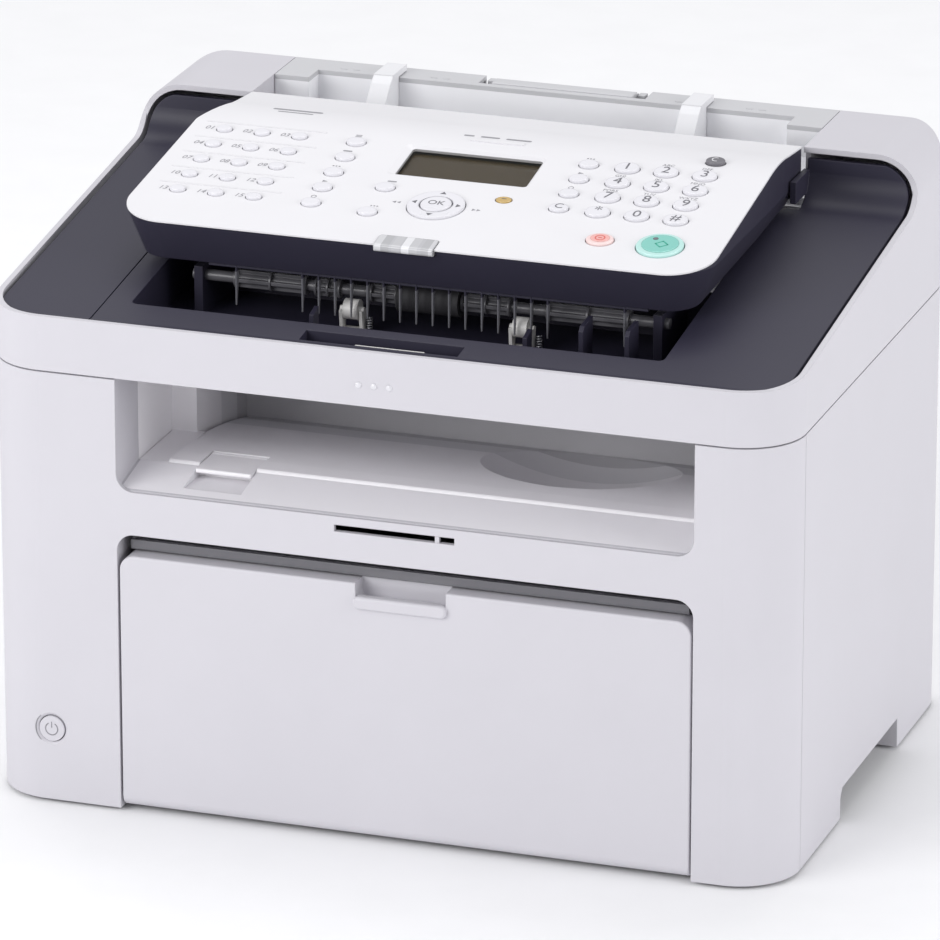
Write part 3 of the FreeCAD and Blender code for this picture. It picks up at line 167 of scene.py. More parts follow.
# ----------------------------------------------------------------- node groups
class Graph:
    """Writes nodes and links into one node tree."""

    def __init__(self, tree: bpy.types.NodeTree) -> None:
        """Start on an empty tree."""
        self.tree = tree
        tree.nodes.clear()

    def add(self, kind: str, **values: object) -> bpy.types.Node:
        """Add one node.

        Args:
            kind: Node type without "ShaderNode"; a name that starts with "Node" is used whole.
            values: Attributes to set, or inputs when the name starts with "in_".

        Returns:
            The new node.
        """
        known = kind if kind.startswith("Node") else "ShaderNode" + kind
        node = self.tree.nodes.new(known)
        for name, value in values.items():
            if name.startswith("in_"):
                socket = name.removeprefix("in_").replace("_", " ")
                node.inputs[socket].default_value = value
            else:
                setattr(node, name, value)
        return node

    def link(self, source: bpy.types.NodeSocket, target: bpy.types.NodeSocket) -> None:
        """Join an output to an input."""
        self.tree.links.new(source, target)

    def math(
        self, operation: str, first: object, second: object, clamp: bool = False
    ) -> bpy.types.NodeSocket:
        """Add a Math node.

        Args:
            operation: Blender's name of the operation.
            first: A socket or a number.
            second: A socket or a number.
            clamp: Whether the result is kept between 0 and 1.

        Returns:
            The result socket.
        """
        node = self.add("Math", operation=operation, use_clamp=clamp)
        for slot, value in zip(node.inputs, (first, second)):
            if isinstance(value, bpy.types.NodeSocket):
                self.link(value, slot)
            else:
                slot.default_value = value
        return node.outputs[0]


class Effect:
    """Shader node groups that several finishes share, each made once."""

    @staticmethod
    def start(
        name: str, takes: list[tuple[str, str, object]], gives: list[tuple[str, str]]
    ) -> Graph:
        """Create a group with its sockets.

        Args:
            name: Name of the group.
            takes: Name, socket type and default of each input.
            gives: Name and socket type of each output.

        Returns:
            A graph that has the group's input and output nodes.
        """
        tree = bpy.data.node_groups.new(name, "ShaderNodeTree")
        for label, kind, value in takes:
            socket = tree.interface.new_socket(label, in_out="INPUT", socket_type=kind)
            socket.default_value = value
        for label, kind in gives:
            tree.interface.new_socket(label, in_out="OUTPUT", socket_type=kind)
        graph = Graph(tree)
        graph.entry = graph.add("NodeGroupInput")
        graph.exit = graph.add("NodeGroupOutput")
        return graph

    @classmethod
    def grain(cls) -> bpy.types.NodeTree:
        """Fine spark texture of a mould, and a slow mottle."""
        found = bpy.data.node_groups.get("mould_grain")
        if found:
            return found
        takes = [("Scale", "NodeSocketFloat", 2600.0), ("Mottle Scale", "NodeSocketFloat", 26.0)]
        gives = [("Height", "NodeSocketFloat"), ("Mottle", "NodeSocketFloat")]
        graph = cls.start("mould_grain", takes, gives)
        place = graph.add("TexCoord").outputs["Object"]
        fine = graph.add("TexNoise", in_Detail=2.0, in_Roughness=0.6)
        pits = graph.add("TexVoronoi", feature="SMOOTH_F1", in_Smoothness=0.6)
        slow = graph.add("TexNoise", in_Detail=4.0, in_Roughness=0.55)
        for node in (fine, pits, slow):
            graph.link(place, node.inputs["Vector"])
        graph.link(graph.entry.outputs["Scale"], fine.inputs["Scale"])
        graph.link(graph.math("MULTIPLY", graph.entry.outputs["Scale"], 0.55), pits.inputs["Scale"])
        graph.link(graph.entry.outputs["Mottle Scale"], slow.inputs["Scale"])
        dents = graph.math("MULTIPLY", pits.outputs["Distance"], 0.7)
        total = graph.math("ADD", fine.outputs[0], dents)
        graph.link(total, graph.exit.inputs["Height"])
        graph.link(slow.outputs[0], graph.exit.inputs["Mottle"])
        return graph.tree

    @classmethod
    def edges(cls) -> bpy.types.NodeTree:
        """Rounded edges, and a mask that is 1 along them."""
        found = bpy.data.node_groups.get("edge_round")
        if found:
            return found
        takes = [("Radius", "NodeSocketFloat", 0.0006)]
        gives = [("Normal", "NodeSocketVector"), ("Mask", "NodeSocketFloat")]
        graph = cls.start("edge_round", takes, gives)
        bevel = graph.add("Bevel", samples=6)
        graph.link(graph.entry.outputs["Radius"], bevel.inputs["Radius"])
        true_normal = graph.add("NewGeometry").outputs["Normal"]
        dot = graph.add("VectorMath", operation="DOT_PRODUCT")
        graph.link(bevel.outputs[0], dot.inputs[0])
        graph.link(true_normal, dot.inputs[1])
        turn = graph.math("SUBTRACT", 1.0, dot.outputs["Value"])
        mask = graph.math("MULTIPLY", turn, 5.0, clamp=True)
        graph.link(bevel.outputs[0], graph.exit.inputs["Normal"])
        graph.link(mask, graph.exit.inputs["Mask"])
        return graph.tree

    @classmethod
    def tone(cls) -> bpy.types.NodeTree:
        """Colour and roughness that vary with mottle, and an edge tint that is partly rubbed edges
        and partly painted highlights and shade.
        """
        found = bpy.data.node_groups.get("surface_tone")
        if found:
            return found
        takes = [
            ("Colour", "NodeSocketColor", (0.8, 0.8, 0.8, 1.0)),
            ("Edge Wear Light Colour", "NodeSocketColor", (0.9, 0.9, 0.9, 1.0)),
            ("Mottle", "NodeSocketFloat", 0.5),
            ("Edge", "NodeSocketFloat", 0.0),
            ("Variation", "NodeSocketFloat", 0.04),
            ("Edge Wear And Light", "NodeSocketFloat", 0.3),
            ("Roughness", "NodeSocketFloat", 0.45),
            ("Roughness Spread", "NodeSocketFloat", 0.08),
        ]
        gives = [("Colour", "NodeSocketColor"), ("Roughness", "NodeSocketFloat")]
        graph = cls.start("surface_tone", takes, gives)
        entry = graph.entry.outputs
        swing = graph.math("SUBTRACT", entry["Mottle"], 0.5)
        gain = graph.math("ADD", 1.0, graph.math("MULTIPLY", swing, entry["Variation"]))
        scale = graph.add("VectorMath", operation="SCALE")
        graph.link(entry["Colour"], scale.inputs[0])
        graph.link(gain, scale.inputs["Scale"])
        # Mix towards the edge tint along rounded edges: rubbed edges on metal and rubber, painted
        # highlights on light rims, painted shade on the key rims.
        mix = graph.add("Mix", data_type="RGBA")
        graph.link(graph.math("MULTIPLY", entry["Edge"], entry["Edge Wear And Light"]), mix.inputs["Factor"])
        graph.link(scale.outputs[0], mix.inputs["A"])
        graph.link(entry["Edge Wear Light Colour"], mix.inputs["B"])
        rough = graph.math("MULTIPLY", swing, entry["Roughness Spread"])
        rough = graph.math("ADD", entry["Roughness"], rough, clamp=True)
        graph.link(mix.outputs["Result"], graph.exit.inputs["Colour"])
        graph.link(rough, graph.exit.inputs["Roughness"])
        return graph.tree

    @classmethod
    def zone(cls) -> bpy.types.NodeTree:
        """Mask of a block of space between two corners."""
        found = bpy.data.node_groups.get("zone_mask")
        if found:
            return found
        takes = [
            ("Low", "NodeSocketVector", (-1.0, -1.0, -1.0)),
            ("High", "NodeSocketVector", (1.0, 1.0, 1.0)),
        ]
        graph = cls.start("zone_mask", takes, [("Mask", "NodeSocketFloat")])
        place = graph.add("SeparateXYZ")
        graph.link(graph.add("TexCoord").outputs["Object"], place.inputs[0])
        low = graph.add("SeparateXYZ")
        high = graph.add("SeparateXYZ")
        graph.link(graph.entry.outputs["Low"], low.inputs[0])
        graph.link(graph.entry.outputs["High"], high.inputs[0])
        mask: object = 1.0
        for axis in range(3):
            above = graph.math("GREATER_THAN", place.outputs[axis], low.outputs[axis])
            below = graph.math("LESS_THAN", place.outputs[axis], high.outputs[axis])
            mask = graph.math("MULTIPLY", mask, graph.math("MULTIPLY", above, below))
        graph.link(mask, graph.exit.inputs["Mask"])
        return graph.tree


# -------------------------------------------------------------------- finishes
@dataclass(frozen=True)
class Zone:
    """Part of a CAD node that has another colour."""

    low: tuple[float, float, float]
    high: tuple[float, float, float]
    colour: Colour
    roughness: float = 0.4
    metallic: float = 0.0


@dataclass(frozen=True)
class Finish:
    """One surface finish as a procedural material."""

    name: str
    colour: Colour
    # Edge tint: the light default paints a highlight along rounded rims.
    edge_wear_light_colour: Colour = (0.9, 0.9, 0.92)
    roughness: float = 0.42
    spread: float = 0.08
    variation: float = 0.05
    # Strength of the edge tint, which is partly rubbing and partly painted rim highlight and shade.
    edge_wear_and_light: float = 0.15
    grain_scale: float = 2600.0
    grain_depth: float = 0.00002
    grain_strength: float = 0.35
    edge_radius: float = 0.0005
    metallic: float = 0.0
    specular: float = 0.5
    coat: float = 0.0
    alpha: float = 1.0
    mottle_scale: float = 26.0
    zones: tuple[Zone, ...] = field(default_factory=tuple)

    def build(self) -> bpy.types.Material:
        """Create the material, or return it if it is there already."""
        label = f"finish_{self.name}"
        found = bpy.data.materials.get(label)
        if found:
            return found
        material = bpy.data.materials.new(label)
        material.use_nodes = True
        graph = Graph(material.node_tree)
        output = graph.add("OutputMaterial")
        shader = graph.add("BsdfPrincipled")
        graph.link(shader.outputs[0], output.inputs["Surface"])
        shader.inputs["Metallic"].default_value = self.metallic
        shader.inputs["Specular IOR Level"].default_value = self.specular
        shader.inputs["Coat Weight"].default_value = self.coat
        shader.inputs["Coat Roughness"].default_value = 0.08
        shader.inputs["Alpha"].default_value = self.alpha
        grain = graph.add("Group", node_tree=Effect.grain())
        grain.inputs["Scale"].default_value = self.grain_scale
        grain.inputs["Mottle Scale"].default_value = self.mottle_scale
        edge = graph.add("Group", node_tree=Effect.edges())
        edge.inputs["Radius"].default_value = self.edge_radius
        tone = graph.add("Group", node_tree=Effect.tone())
        tone.inputs["Colour"].default_value = (*self.colour, 1.0)
        tone.inputs["Edge Wear Light Colour"].default_value = (*self.edge_wear_light_colour, 1.0)
        tone.inputs["Variation"].default_value = self.variation
        tone.inputs["Edge Wear And Light"].default_value = self.edge_wear_and_light
        tone.inputs["Roughness"].default_value = self.roughness
        tone.inputs["Roughness Spread"].default_value = self.spread
        graph.link(grain.outputs["Mottle"], tone.inputs["Mottle"])
        graph.link(edge.outputs["Mask"], tone.inputs["Edge"])
        bump = graph.add("Bump", in_Strength=self.grain_strength, in_Distance=self.grain_depth)
        graph.link(grain.outputs["Height"], bump.inputs["Height"])
        graph.link(edge.outputs["Normal"], bump.inputs["Normal"])
        graph.link(bump.outputs[0], shader.inputs["Normal"])
        colour, rough = self.add_zones(graph, tone, shader)
        graph.link(colour, shader.inputs["Base Color"])
        graph.link(rough, shader.inputs["Roughness"])
        return material

    def add_zones(
        self, graph: Graph, tone: bpy.types.Node, shader: bpy.types.Node
    ) -> tuple[bpy.types.NodeSocket, bpy.types.NodeSocket]:
        """Lay the zones over the main colour.

        Args:
            graph: The material's graph.
            tone: The node that gives the main colour and roughness.
            shader: The shader whose metallic input zones may drive.

        Returns:
            The colour socket and the roughness socket.
        """
        colour, rough = tone.outputs["Colour"], tone.outputs["Roughness"]
        metal: Optional[bpy.types.NodeSocket] = None
        for zone in self.zones:
            mask = graph.add("Group", node_tree=Effect.zone())
            mask.inputs["Low"].default_value = zone.low
            mask.inputs["High"].default_value = zone.high
            mix = graph.add("Mix", data_type="RGBA")
            graph.link(mask.outputs[0], mix.inputs["Factor"])
            graph.link(colour, mix.inputs["A"])
            mix.inputs["B"].default_value = (*zone.colour, 1.0)
            colour = mix.outputs["Result"]
            blend = graph.add("Mix", data_type="FLOAT")
            graph.link(mask.outputs[0], blend.inputs["Factor"])
            graph.link(rough, blend.inputs["A"])
            blend.inputs["B"].default_value = zone.roughness
            rough = blend.outputs["Result"]
            if zone.metallic > 0:
                part = graph.math("MULTIPLY", mask.outputs[0], zone.metallic)
                metal = part if metal is None else graph.math("MAXIMUM", metal, part)
        if metal is not None:
            graph.link(metal, shader.inputs["Metallic"])
        return colour, rough


HOUSING = Finish("housing_white", shade(202, 200, 206), roughness=0.5, edge_wear_and_light=0.2)
FRONT = Finish(
    "front_white_painted_bay_light",
    HOUSING.colour,
    roughness=0.5,
    edge_wear_and_light=0.2,
    # The zone paints the bay shelf lighter than the housing: a painted pool of light where the
    # front lamp reaches into the bay.
    zones=(Zone((-0.121, -0.1275, 0.14), (0.1443, -0.03, 0.2035), shade(240, 238, 242), 0.5),),
)
# Output tray and paper stop: the near white front is painted light, and the zones darken it step by
# step towards the back as painted shade under the upper housing.
TRAY_PAINTED_LIGHT_SHADE = Finish(
    "tray_painted_light_and_shade",
    shade(246, 244, 247),
    roughness=0.48,
    zones=(
        # Painted shade, deeper towards the back.
        Zone((-1.0, -0.03, 0.0), (1.0, 1.0, 1.0), shade(226, 225, 228), 0.5),
        Zone((-1.0, -0.01, 0.0), (1.0, 1.0, 1.0), shade(200, 199, 202), 0.5),
        Zone((-1.0, 0.008, 0.0), (1.0, 1.0, 1.0), shade(160, 159, 162), 0.5),
    ),
)
PANEL_WHITE = Finish(
    "panel_white",
    shade(227, 226, 229),
    roughness=0.4,
    grain_strength=0.15,
    specular=0.35,
    edge_radius=0.0004,
)
# The lighter edge tint of the deck paints highlights along its rims.
DECK = Finish(
    "deck_dark",
    shade(46, 44, 60),
    edge_wear_light_colour=shade(96, 94, 112),
    roughness=0.46,
    variation=0.12,
    edge_wear_and_light=0.25,
    specular=0.4,
)
# The lighter edge tint of the shell paints highlights along its rims.
SHELL = Finish(
    "shell_dark",
    shade(48, 46, 61),
    edge_wear_light_colour=shade(96, 94, 110),
    roughness=0.46,
    specular=0.4,
    variation=0.12,
    edge_wear_and_light=0.2,
    zones=(Zone((-0.2, -0.0716, 0.2), (0.2, -0.0672, 0.2386), shade(112, 112, 118), 0.35),),
)
FEEDER = Finish("feeder_grey", shade(198, 198, 201), roughness=0.5, variation=0.06)
# The zone paints the low trough of the document tray near white: painted light on a slope that the
# lamps leave in shade.
FEEDER_TRAY_PAINTED_LIGHT = Finish(
    "feeder_tray_painted_light",
    FEEDER.colour,
    roughness=0.5,
    variation=0.06,
    zones=(Zone((-0.132, 0.06, 0.2), (0.132, 0.1153, 0.2742), shade(246, 246, 249), 0.5),),
)
GUIDE = Finish("guide_white", shade(228, 228, 231), roughness=0.45, variation=0.06)
# The grey edge tint darkens the key rims: painted shade round each raised key.
KEY = Finish(
    "key_white",
    shade(226, 225, 230),
    edge_wear_light_colour=shade(146, 145, 152),
    roughness=0.28,
    grain_strength=0.08,
    edge_radius=0.0011,
    coat=0.2,
    edge_wear_and_light=0.45,
)
KEY_DARK = Finish("key_dark", shade(110, 108, 114), roughness=0.3, grain_strength=0.1, edge_wear_and_light=0.3)
STOP = Finish("key_stop", shade(240, 214, 212), roughness=0.25, grain_strength=0.06, coat=0.4)
START = Finish("key_start", shade(186, 228, 222), roughness=0.22, grain_strength=0.06, coat=0.5)
GALVANISED = Finish(
    "galvanised_steel",
    (0.55, 0.55, 0.57),
    edge_wear_light_colour=(0.8, 0.8, 0.82),
    roughness=0.36,
    spread=0.25,
    variation=0.35,
    metallic=1.0,
    grain_scale=700.0,
    mottle_scale=90.0,
)
SCREW = Finish(
    "screw_zinc", (0.5, 0.5, 0.53), roughness=0.28, variation=0.2, metallic=1.0, edge_wear_and_light=0.4
)
BLACK = Finish(
    "black_plastic",
    shade(34, 34, 37),
    edge_wear_light_colour=shade(90, 90, 94),
    roughness=0.5,
    variation=0.2,
)
FOOT = Finish(
    "foot_rubber",
    shade(44, 44, 46),
    edge_wear_light_colour=shade(70, 70, 72),
    roughness=0.85,
    variation=0.2,
)
RUBBER = Finish(
    "roller_rubber",
    shade(50, 49, 53),
    edge_wear_light_colour=shade(110, 110, 114),
    roughness=0.7,
    grain_scale=5200.0,
    grain_strength=0.6,
    variation=0.15,
)
WHITE = Finish("white_acetal", shade(224, 222, 220), roughness=0.38)
BOARD_GREEN = shade(24, 92, 56)
RIB_GREY = shade(100, 99, 104)

# Where the finish of a node changes, in metres.
LAMP_SETBACK = 0.016
TAB_LEFT, TAB_WIDTH = -0.019, 0.0272
TAB_BAND_SHARE = 0.14
# Grey bands across the clear lens tab: painted shading and reflections of the rounded lens, as
# share of the width and display grey.
TAB_PAINTED_SHADE_BANDS = (
    (0.0, 206), (0.12, 176), (0.3, 190), (0.47, 226), (0.6, 192), (0.8, 178), (0.93, 204)
)
RIBS_LEFT_END, RIBS_RIGHT_START = -0.0152, 0.0142
BARE_BOARD = 0.0017
MOTOR_REAR = -0.0006
SHAFT_BARE_END = -0.108
BLADE_OFFSET, BLADE_HALF = 3.75 * MM, 0.0009
BLADE_FRONT, BLADE_BOTTOM, BLADE_TOP = 0.0022, 0.0069, 0.0151


def place_finishes() -> dict[str, Finish]:
    """Name the finish of every CAD node, with its zones from the CAD boxes.

    Returns:
        Finish by node name.
    """
    lens_low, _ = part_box("indicator_lenses")
    split = lens_low[1] + LAMP_SETBACK
    amber = Zone((-1.0, split, 0.0), (1.0, 1.0, 1.0), shade(196, 164, 96), 0.25)
    bands = [amber]
    # Painted shading and reflection bands across the clear lens tab.
    for step, tone in TAB_PAINTED_SHADE_BANDS:
        left = TAB_LEFT + TAB_WIDTH * step
        right = left + TAB_WIDTH * TAB_BAND_SHARE
        colour = shade(tone, tone, tone + 3)
        bands.append(Zone((left, -1.0, 0.0), (right, split, 1.0), colour, 0.2))
    lens = Finish(
        "lens_clear",
        shade(184, 184, 188),
        roughness=0.18,
        coat=0.6,
        grain_strength=0.1,
        zones=tuple(bands),
    )
    ribs_left = Zone((-1.0, -1.0, 0.0), (RIBS_LEFT_END, 1.0, 1.0), RIB_GREY, 0.3)
    ribs_right = Zone((RIBS_RIGHT_START, -1.0, 0.0), (1.0, 1.0, 1.0), RIB_GREY, 0.3)
    feed = Finish(
        "feed_roller",
        RUBBER.colour,
        roughness=0.7,
        grain_scale=5200.0,
        zones=(ribs_left, ribs_right),
    )
    board_low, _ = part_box("main_board")
    chips = Zone((board_low[0] + BARE_BOARD, -1.0, 0.0), (1.0, 1.0, 1.0), shade(40, 40, 42), 0.4)
    plain_board = Finish("key_board", BOARD_GREEN, roughness=0.35, variation=0.25, coat=0.3)
    green = replace(plain_board, name="circuit_board", zones=(chips,))
    motor = Zone((-1.0, -1.0, 0.0), (1.0, MOTOR_REAR, 1.0), (0.5, 0.5, 0.52), 0.35, 0.9)
    drive = Finish("drive_gears", WHITE.colour, roughness=0.38, zones=(motor,))
    shaft = Finish(
        "engine_roller",
        RUBBER.colour,
        roughness=0.7,
        zones=(Zone((-1.0, -1.0, 0.0), (SHAFT_BARE_END, 1.0, 1.0), (0.6, 0.6, 0.62), 0.3, 1.0),),
    )
    inlet_low, inlet_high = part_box("power_inlet")
    middle = (inlet_low[0] + inlet_high[0]) / 2
    blades = []
    for offset in (-BLADE_OFFSET, BLADE_OFFSET):
        near, bottom = inlet_low[1] + BLADE_FRONT, inlet_low[2] + BLADE_BOTTOM
        low = (middle + offset - BLADE_HALF, near, bottom)
        high = (middle + offset + BLADE_HALF, inlet_high[1], inlet_low[2] + BLADE_TOP)
        blades.append(Zone(low, high, (0.72, 0.68, 0.6), 0.25, 1.0))
    inlet = Finish("mains_inlet", BLACK.colour, roughness=0.45, zones=tuple(blades))
    display = Finish(
        "display_glass",
        shade(88, 74, 46),
        edge_wear_light_colour=shade(60, 58, 50),
        roughness=0.25,
        variation=0.35,
        edge_wear_and_light=0.0,
        mottle_scale=9.0,
        coat=0.3,
    )
    window = Finish(
        "display_window",
        shade(48, 46, 42),
        roughness=0.08,
        alpha=0.2,
        grain_strength=0.0,
        edge_wear_and_light=0.0,
    )
    smoked = Finish(
        "smoked_cover", shade(122, 121, 126), roughness=0.25, alpha=0.8, grain_strength=0.1
    )
    finishes = {
        "base_frame": GALVANISED,
        "fuser_unit": GALVANISED,
        "casing_screws": SCREW,
        "rubber_feet": FOOT,
        "output_tray": TRAY_PAINTED_LIGHT_SHADE,
        "paper_stop": TRAY_PAINTED_LIGHT_SHADE,
        "exit_roller": shaft,
        "pickup_roller": shaft,
        "dust_cover": smoked,
        "main_board": green,
        "panel_board": plain_board,
        "drive_unit": drive,
        "power_inlet": inlet,
        "deck_cover": DECK,
        "panel_shell": SHELL,
        "panel_plate": PANEL_WHITE,
        "feed_roller": feed,
        "lcd_window": window,
        "lcd_module": display,
        "indicator_lenses": lens,
        "energy_saver_key": KEY_DARK,
        "stop_key": STOP,
        "start_key": START,
        "power_button": HOUSING,
    }
    groups = (
        (FRONT, "front_shell"),
        (HOUSING, "side_cover_left side_cover_right rear_cover tray_door upper_housing"),
        (FEEDER_TRAY_PAINTED_LIGHT, "document_tray"),
        (FEEDER, "document_flap"),
        (GUIDE, "document_guide_left document_guide_right"),
        (BLACK, "paper_guide_left paper_guide_right toner_cartridge laser_unit line_jacks"),
        (WHITE, "pinch_rollers guide_pinion"),
        (BLACK, "image_sensor"),
    )
    for finish, names in groups:
        finishes.update((name, finish) for name in names.split())
    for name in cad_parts:
        finishes.setdefault(name, KEY)
    return finishes


# ------------------------------------------------------------------- mesh work
DISC_CORNERS = 40
DOME_CORNERS, DOME_RINGS, DOME_STEP = 28, 7, 14.0


@dataclass
class Drawing:
    """Collects flat and raised marks into one mesh piece."""

    name: str
    body: str
    finish: Finish
    slot: str
    mesh: bmesh.types.BMesh = field(default_factory=bmesh.new)

    def outline(self, points: list[tuple[float, float]], place: Matrix, height: float) -> None:
        """Add an extruded outline.

        Args:
            points: Corners in drawing coordinates, counter-clockwise, in metres.
            place: Placement of the drawing.
            height: Thickness, in metres.
        """
        bottom = [self.mesh.verts.new(place @ Vector((x, y, 0.0))) for x, y in points]
        top = [self.mesh.verts.new(place @ Vector((x, y, height))) for x, y in points]
        self.mesh.faces.new(top)
        self.mesh.faces.new(list(reversed(bottom)))
        count = len(points)
        for index in range(count):
            nxt = (index + 1) % count
            self.mesh.faces.new((bottom[index], bottom[nxt], top[nxt], top[index]))

    def bar(
        self,
        width: float,
        depth: float,
        place: Matrix,
        height: float,
        x: float = 0.0,
        y: float = 0.0,
    ) -> None:
        """Add a bar with round ends that runs along the drawing's x direction.

        Args:
            width: Length of the bar, in metres.
            depth: Size across the bar, in metres.
            place: Placement of the drawing.
            height: Thickness, in metres.
            x: Centre across the drawing, in metres.
            y: Centre up the drawing, in metres.
        """
        radius = min(width, depth) / 2
        points = []
        for sign, start in ((1, -90), (-1, 90)):
            for step in range(7):
                angle = math.radians(start + step * 30)
                cx = sign * (width / 2 - radius)
                across = x + cx + radius * math.cos(angle)
                points.append((across, y + radius * math.sin(angle) * depth / (2 * radius)))
        self.outline(points, place, height)

    def stack(
        self,
        levels: list[tuple[float, float, float]],
        steps: int,
        place: Matrix,
        x: float = 0.0,
        y: float = 0.0,
    ) -> None:
        """Join oval rings that lie above one another, and close both ends.

        Args:
            levels: Half width, half depth and height of each ring, in metres.
            steps: Number of corners of each ring.
            place: Placement of the drawing.
            x: Centre across the drawing, in metres.
            y: Centre up the drawing, in metres.
        """
        loops = []
        for across, along, up in levels:
            loop = []
            for step in range(steps):
                turn = 2 * math.pi * step / steps
                spot = Vector((x + across * math.cos(turn), y + along * math.sin(turn), up))
                loop.append(self.mesh.verts.new(place @ spot))
            loops.append(loop)
        for low, high in zip(loops, loops[1:]):
            for index in range(steps):
                nxt = (index + 1) % steps
                self.mesh.faces.new((low[index], low[nxt], high[nxt], high[index]))
        self.mesh.faces.new(loops[-1])
        self.mesh.faces.new(list(reversed(loops[0])))

    def disc(
        self, rx: float, ry: float, place: Matrix, height: float, x: float = 0.0, y: float = 0.0
    ) -> None:
        """Add an oval disc with a softened upper edge."""
        rings = ((1.0, 0.0), (1.0, 0.7), (0.93, 1.0))
        levels = [(rx * scale, ry * scale, height * level) for scale, level in rings]
        self.stack(levels, DISC_CORNERS, place, x, y)

    def dome(self, radius: float, height: float, place: Matrix) -> None:
        """Add a round cap that rises smoothly to its middle."""
        levels = []
        for level in range(DOME_RINGS):
            angle = math.radians(level * DOME_STEP)
            ring = radius * math.cos(angle)
            levels.append((ring, ring, height * math.sin(angle)))
        self.stack(levels, DOME_CORNERS, place)

    def arc(
        self, radius: float, stroke: float, start: float, sweep: float, place: Matrix, height: float
    ) -> None:
        """Add a stroke along part of a circle.

        Args:
            radius: Middle radius, in metres.
            stroke: Width of the stroke, in metres.
            start: First angle, in degrees.
            sweep: Angle covered, in degrees.
            place: Placement of the drawing.
            height: Thickness, in metres.
        """
        steps = max(8, int(sweep / 9))
        outer, inner = [], []
        for step in range(steps + 1):
            angle = math.radians(start + sweep * step / steps)
            for side, reach in ((outer, radius + stroke / 2), (inner, radius - stroke / 2)):
                side.append((reach * math.cos(angle), reach * math.sin(angle)))
        for step in range(steps):
            quad = [inner[step], outer[step], outer[step + 1], inner[step + 1]]
            self.outline(quad, place, height)

    def text(
        self, words: str, size: float, place: Matrix, height: float, slant: float = 0.0
    ) -> None:
        """Add characters with their centre at the drawing's origin.

        Args:
            words: The characters.
            size: Font size, in metres.
            place: Placement of the drawing.
            height: Thickness, in metres.
            slant: Lean to the right, from 0 to 1.
        """
        curve = bpy.data.curves.new("glyphs", "FONT")
        curve.body = words
        curve.size = size
        curve.shear = slant
        curve.extrude = height / 2
        curve.resolution_u = 3
        curve.align_x = "CENTER"
        curve.align_y = "CENTER"
        holder = bpy.data.objects.new("glyphs", curve)
        flat = bpy.data.meshes.new_from_object(holder)
        flat.transform(place @ Matrix.Translation((0.0, 0.0, height / 2)))
        self.mesh.from_mesh(flat)
        bpy.data.meshes.remove(flat)
        bpy.data.objects.remove(holder)
        bpy.data.curves.remove(curve)

    def done(self) -> bpy.types.Object:
        """Write the mesh into the scene and let it ride on its body."""
        bmesh.ops.recalc_face_normals(self.mesh, faces=self.mesh.faces)
        data = bpy.data.meshes.new(self.name)
        self.mesh.to_mesh(data)
        self.mesh.free()
        piece = bpy.data.objects.new(self.name, data)
        bpy.context.scene.collection.objects.link(piece)
        data.materials.append(self.finish.build())
        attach(piece, self.body)
        log.info("%s rides on %s", self.name, self.body)
        return piece


def ink(name: str, red: float, green: float, blue: float, roughness: float = 0.45) -> Finish:
    """Return a plain print finish."""
    return Finish(name, shade(red, green, blue), roughness=roughness, edge_wear_and_light=0.0, grain_strength=0.1)


# The domes are real bumps; their colour, lighter than the housing, is a painted highlight, and the
# gloss is real.
DOT_HIGHLIGHT = Finish(
    "dot_painted_highlight", shade(214, 213, 218), roughness=0.15, coat=0.6, grain_strength=0.0, edge_wear_and_light=0.0
)
INK = ink("print_grey", 150, 149, 155)
INK_DARK = ink("print_dark", 104, 103, 110)
INK_WHITE = ink("print_white", 236, 236, 238)
INK_RED = ink("print_red", 226, 96, 88, 0.4)
INK_GREEN = ink("print_green", 46, 172, 148, 0.4)
STOP_FACE = Finish(
    "stop_face", shade(238, 176, 170), roughness=0.22, coat=0.4, grain_strength=0.05, edge_wear_and_light=0.1
)
START_FACE = Finish(
    "start_face", shade(126, 200, 188), roughness=0.2, coat=0.5, grain_strength=0.05, edge_wear_and_light=0.1
)


class Pictogram(Enum):
    """Generic signs printed next to the keys."""

    SHEET = "sheet"
    BARS = "bars"
    DOTS = "dots"
    ARROW = "arrow"
    RING = "ring"


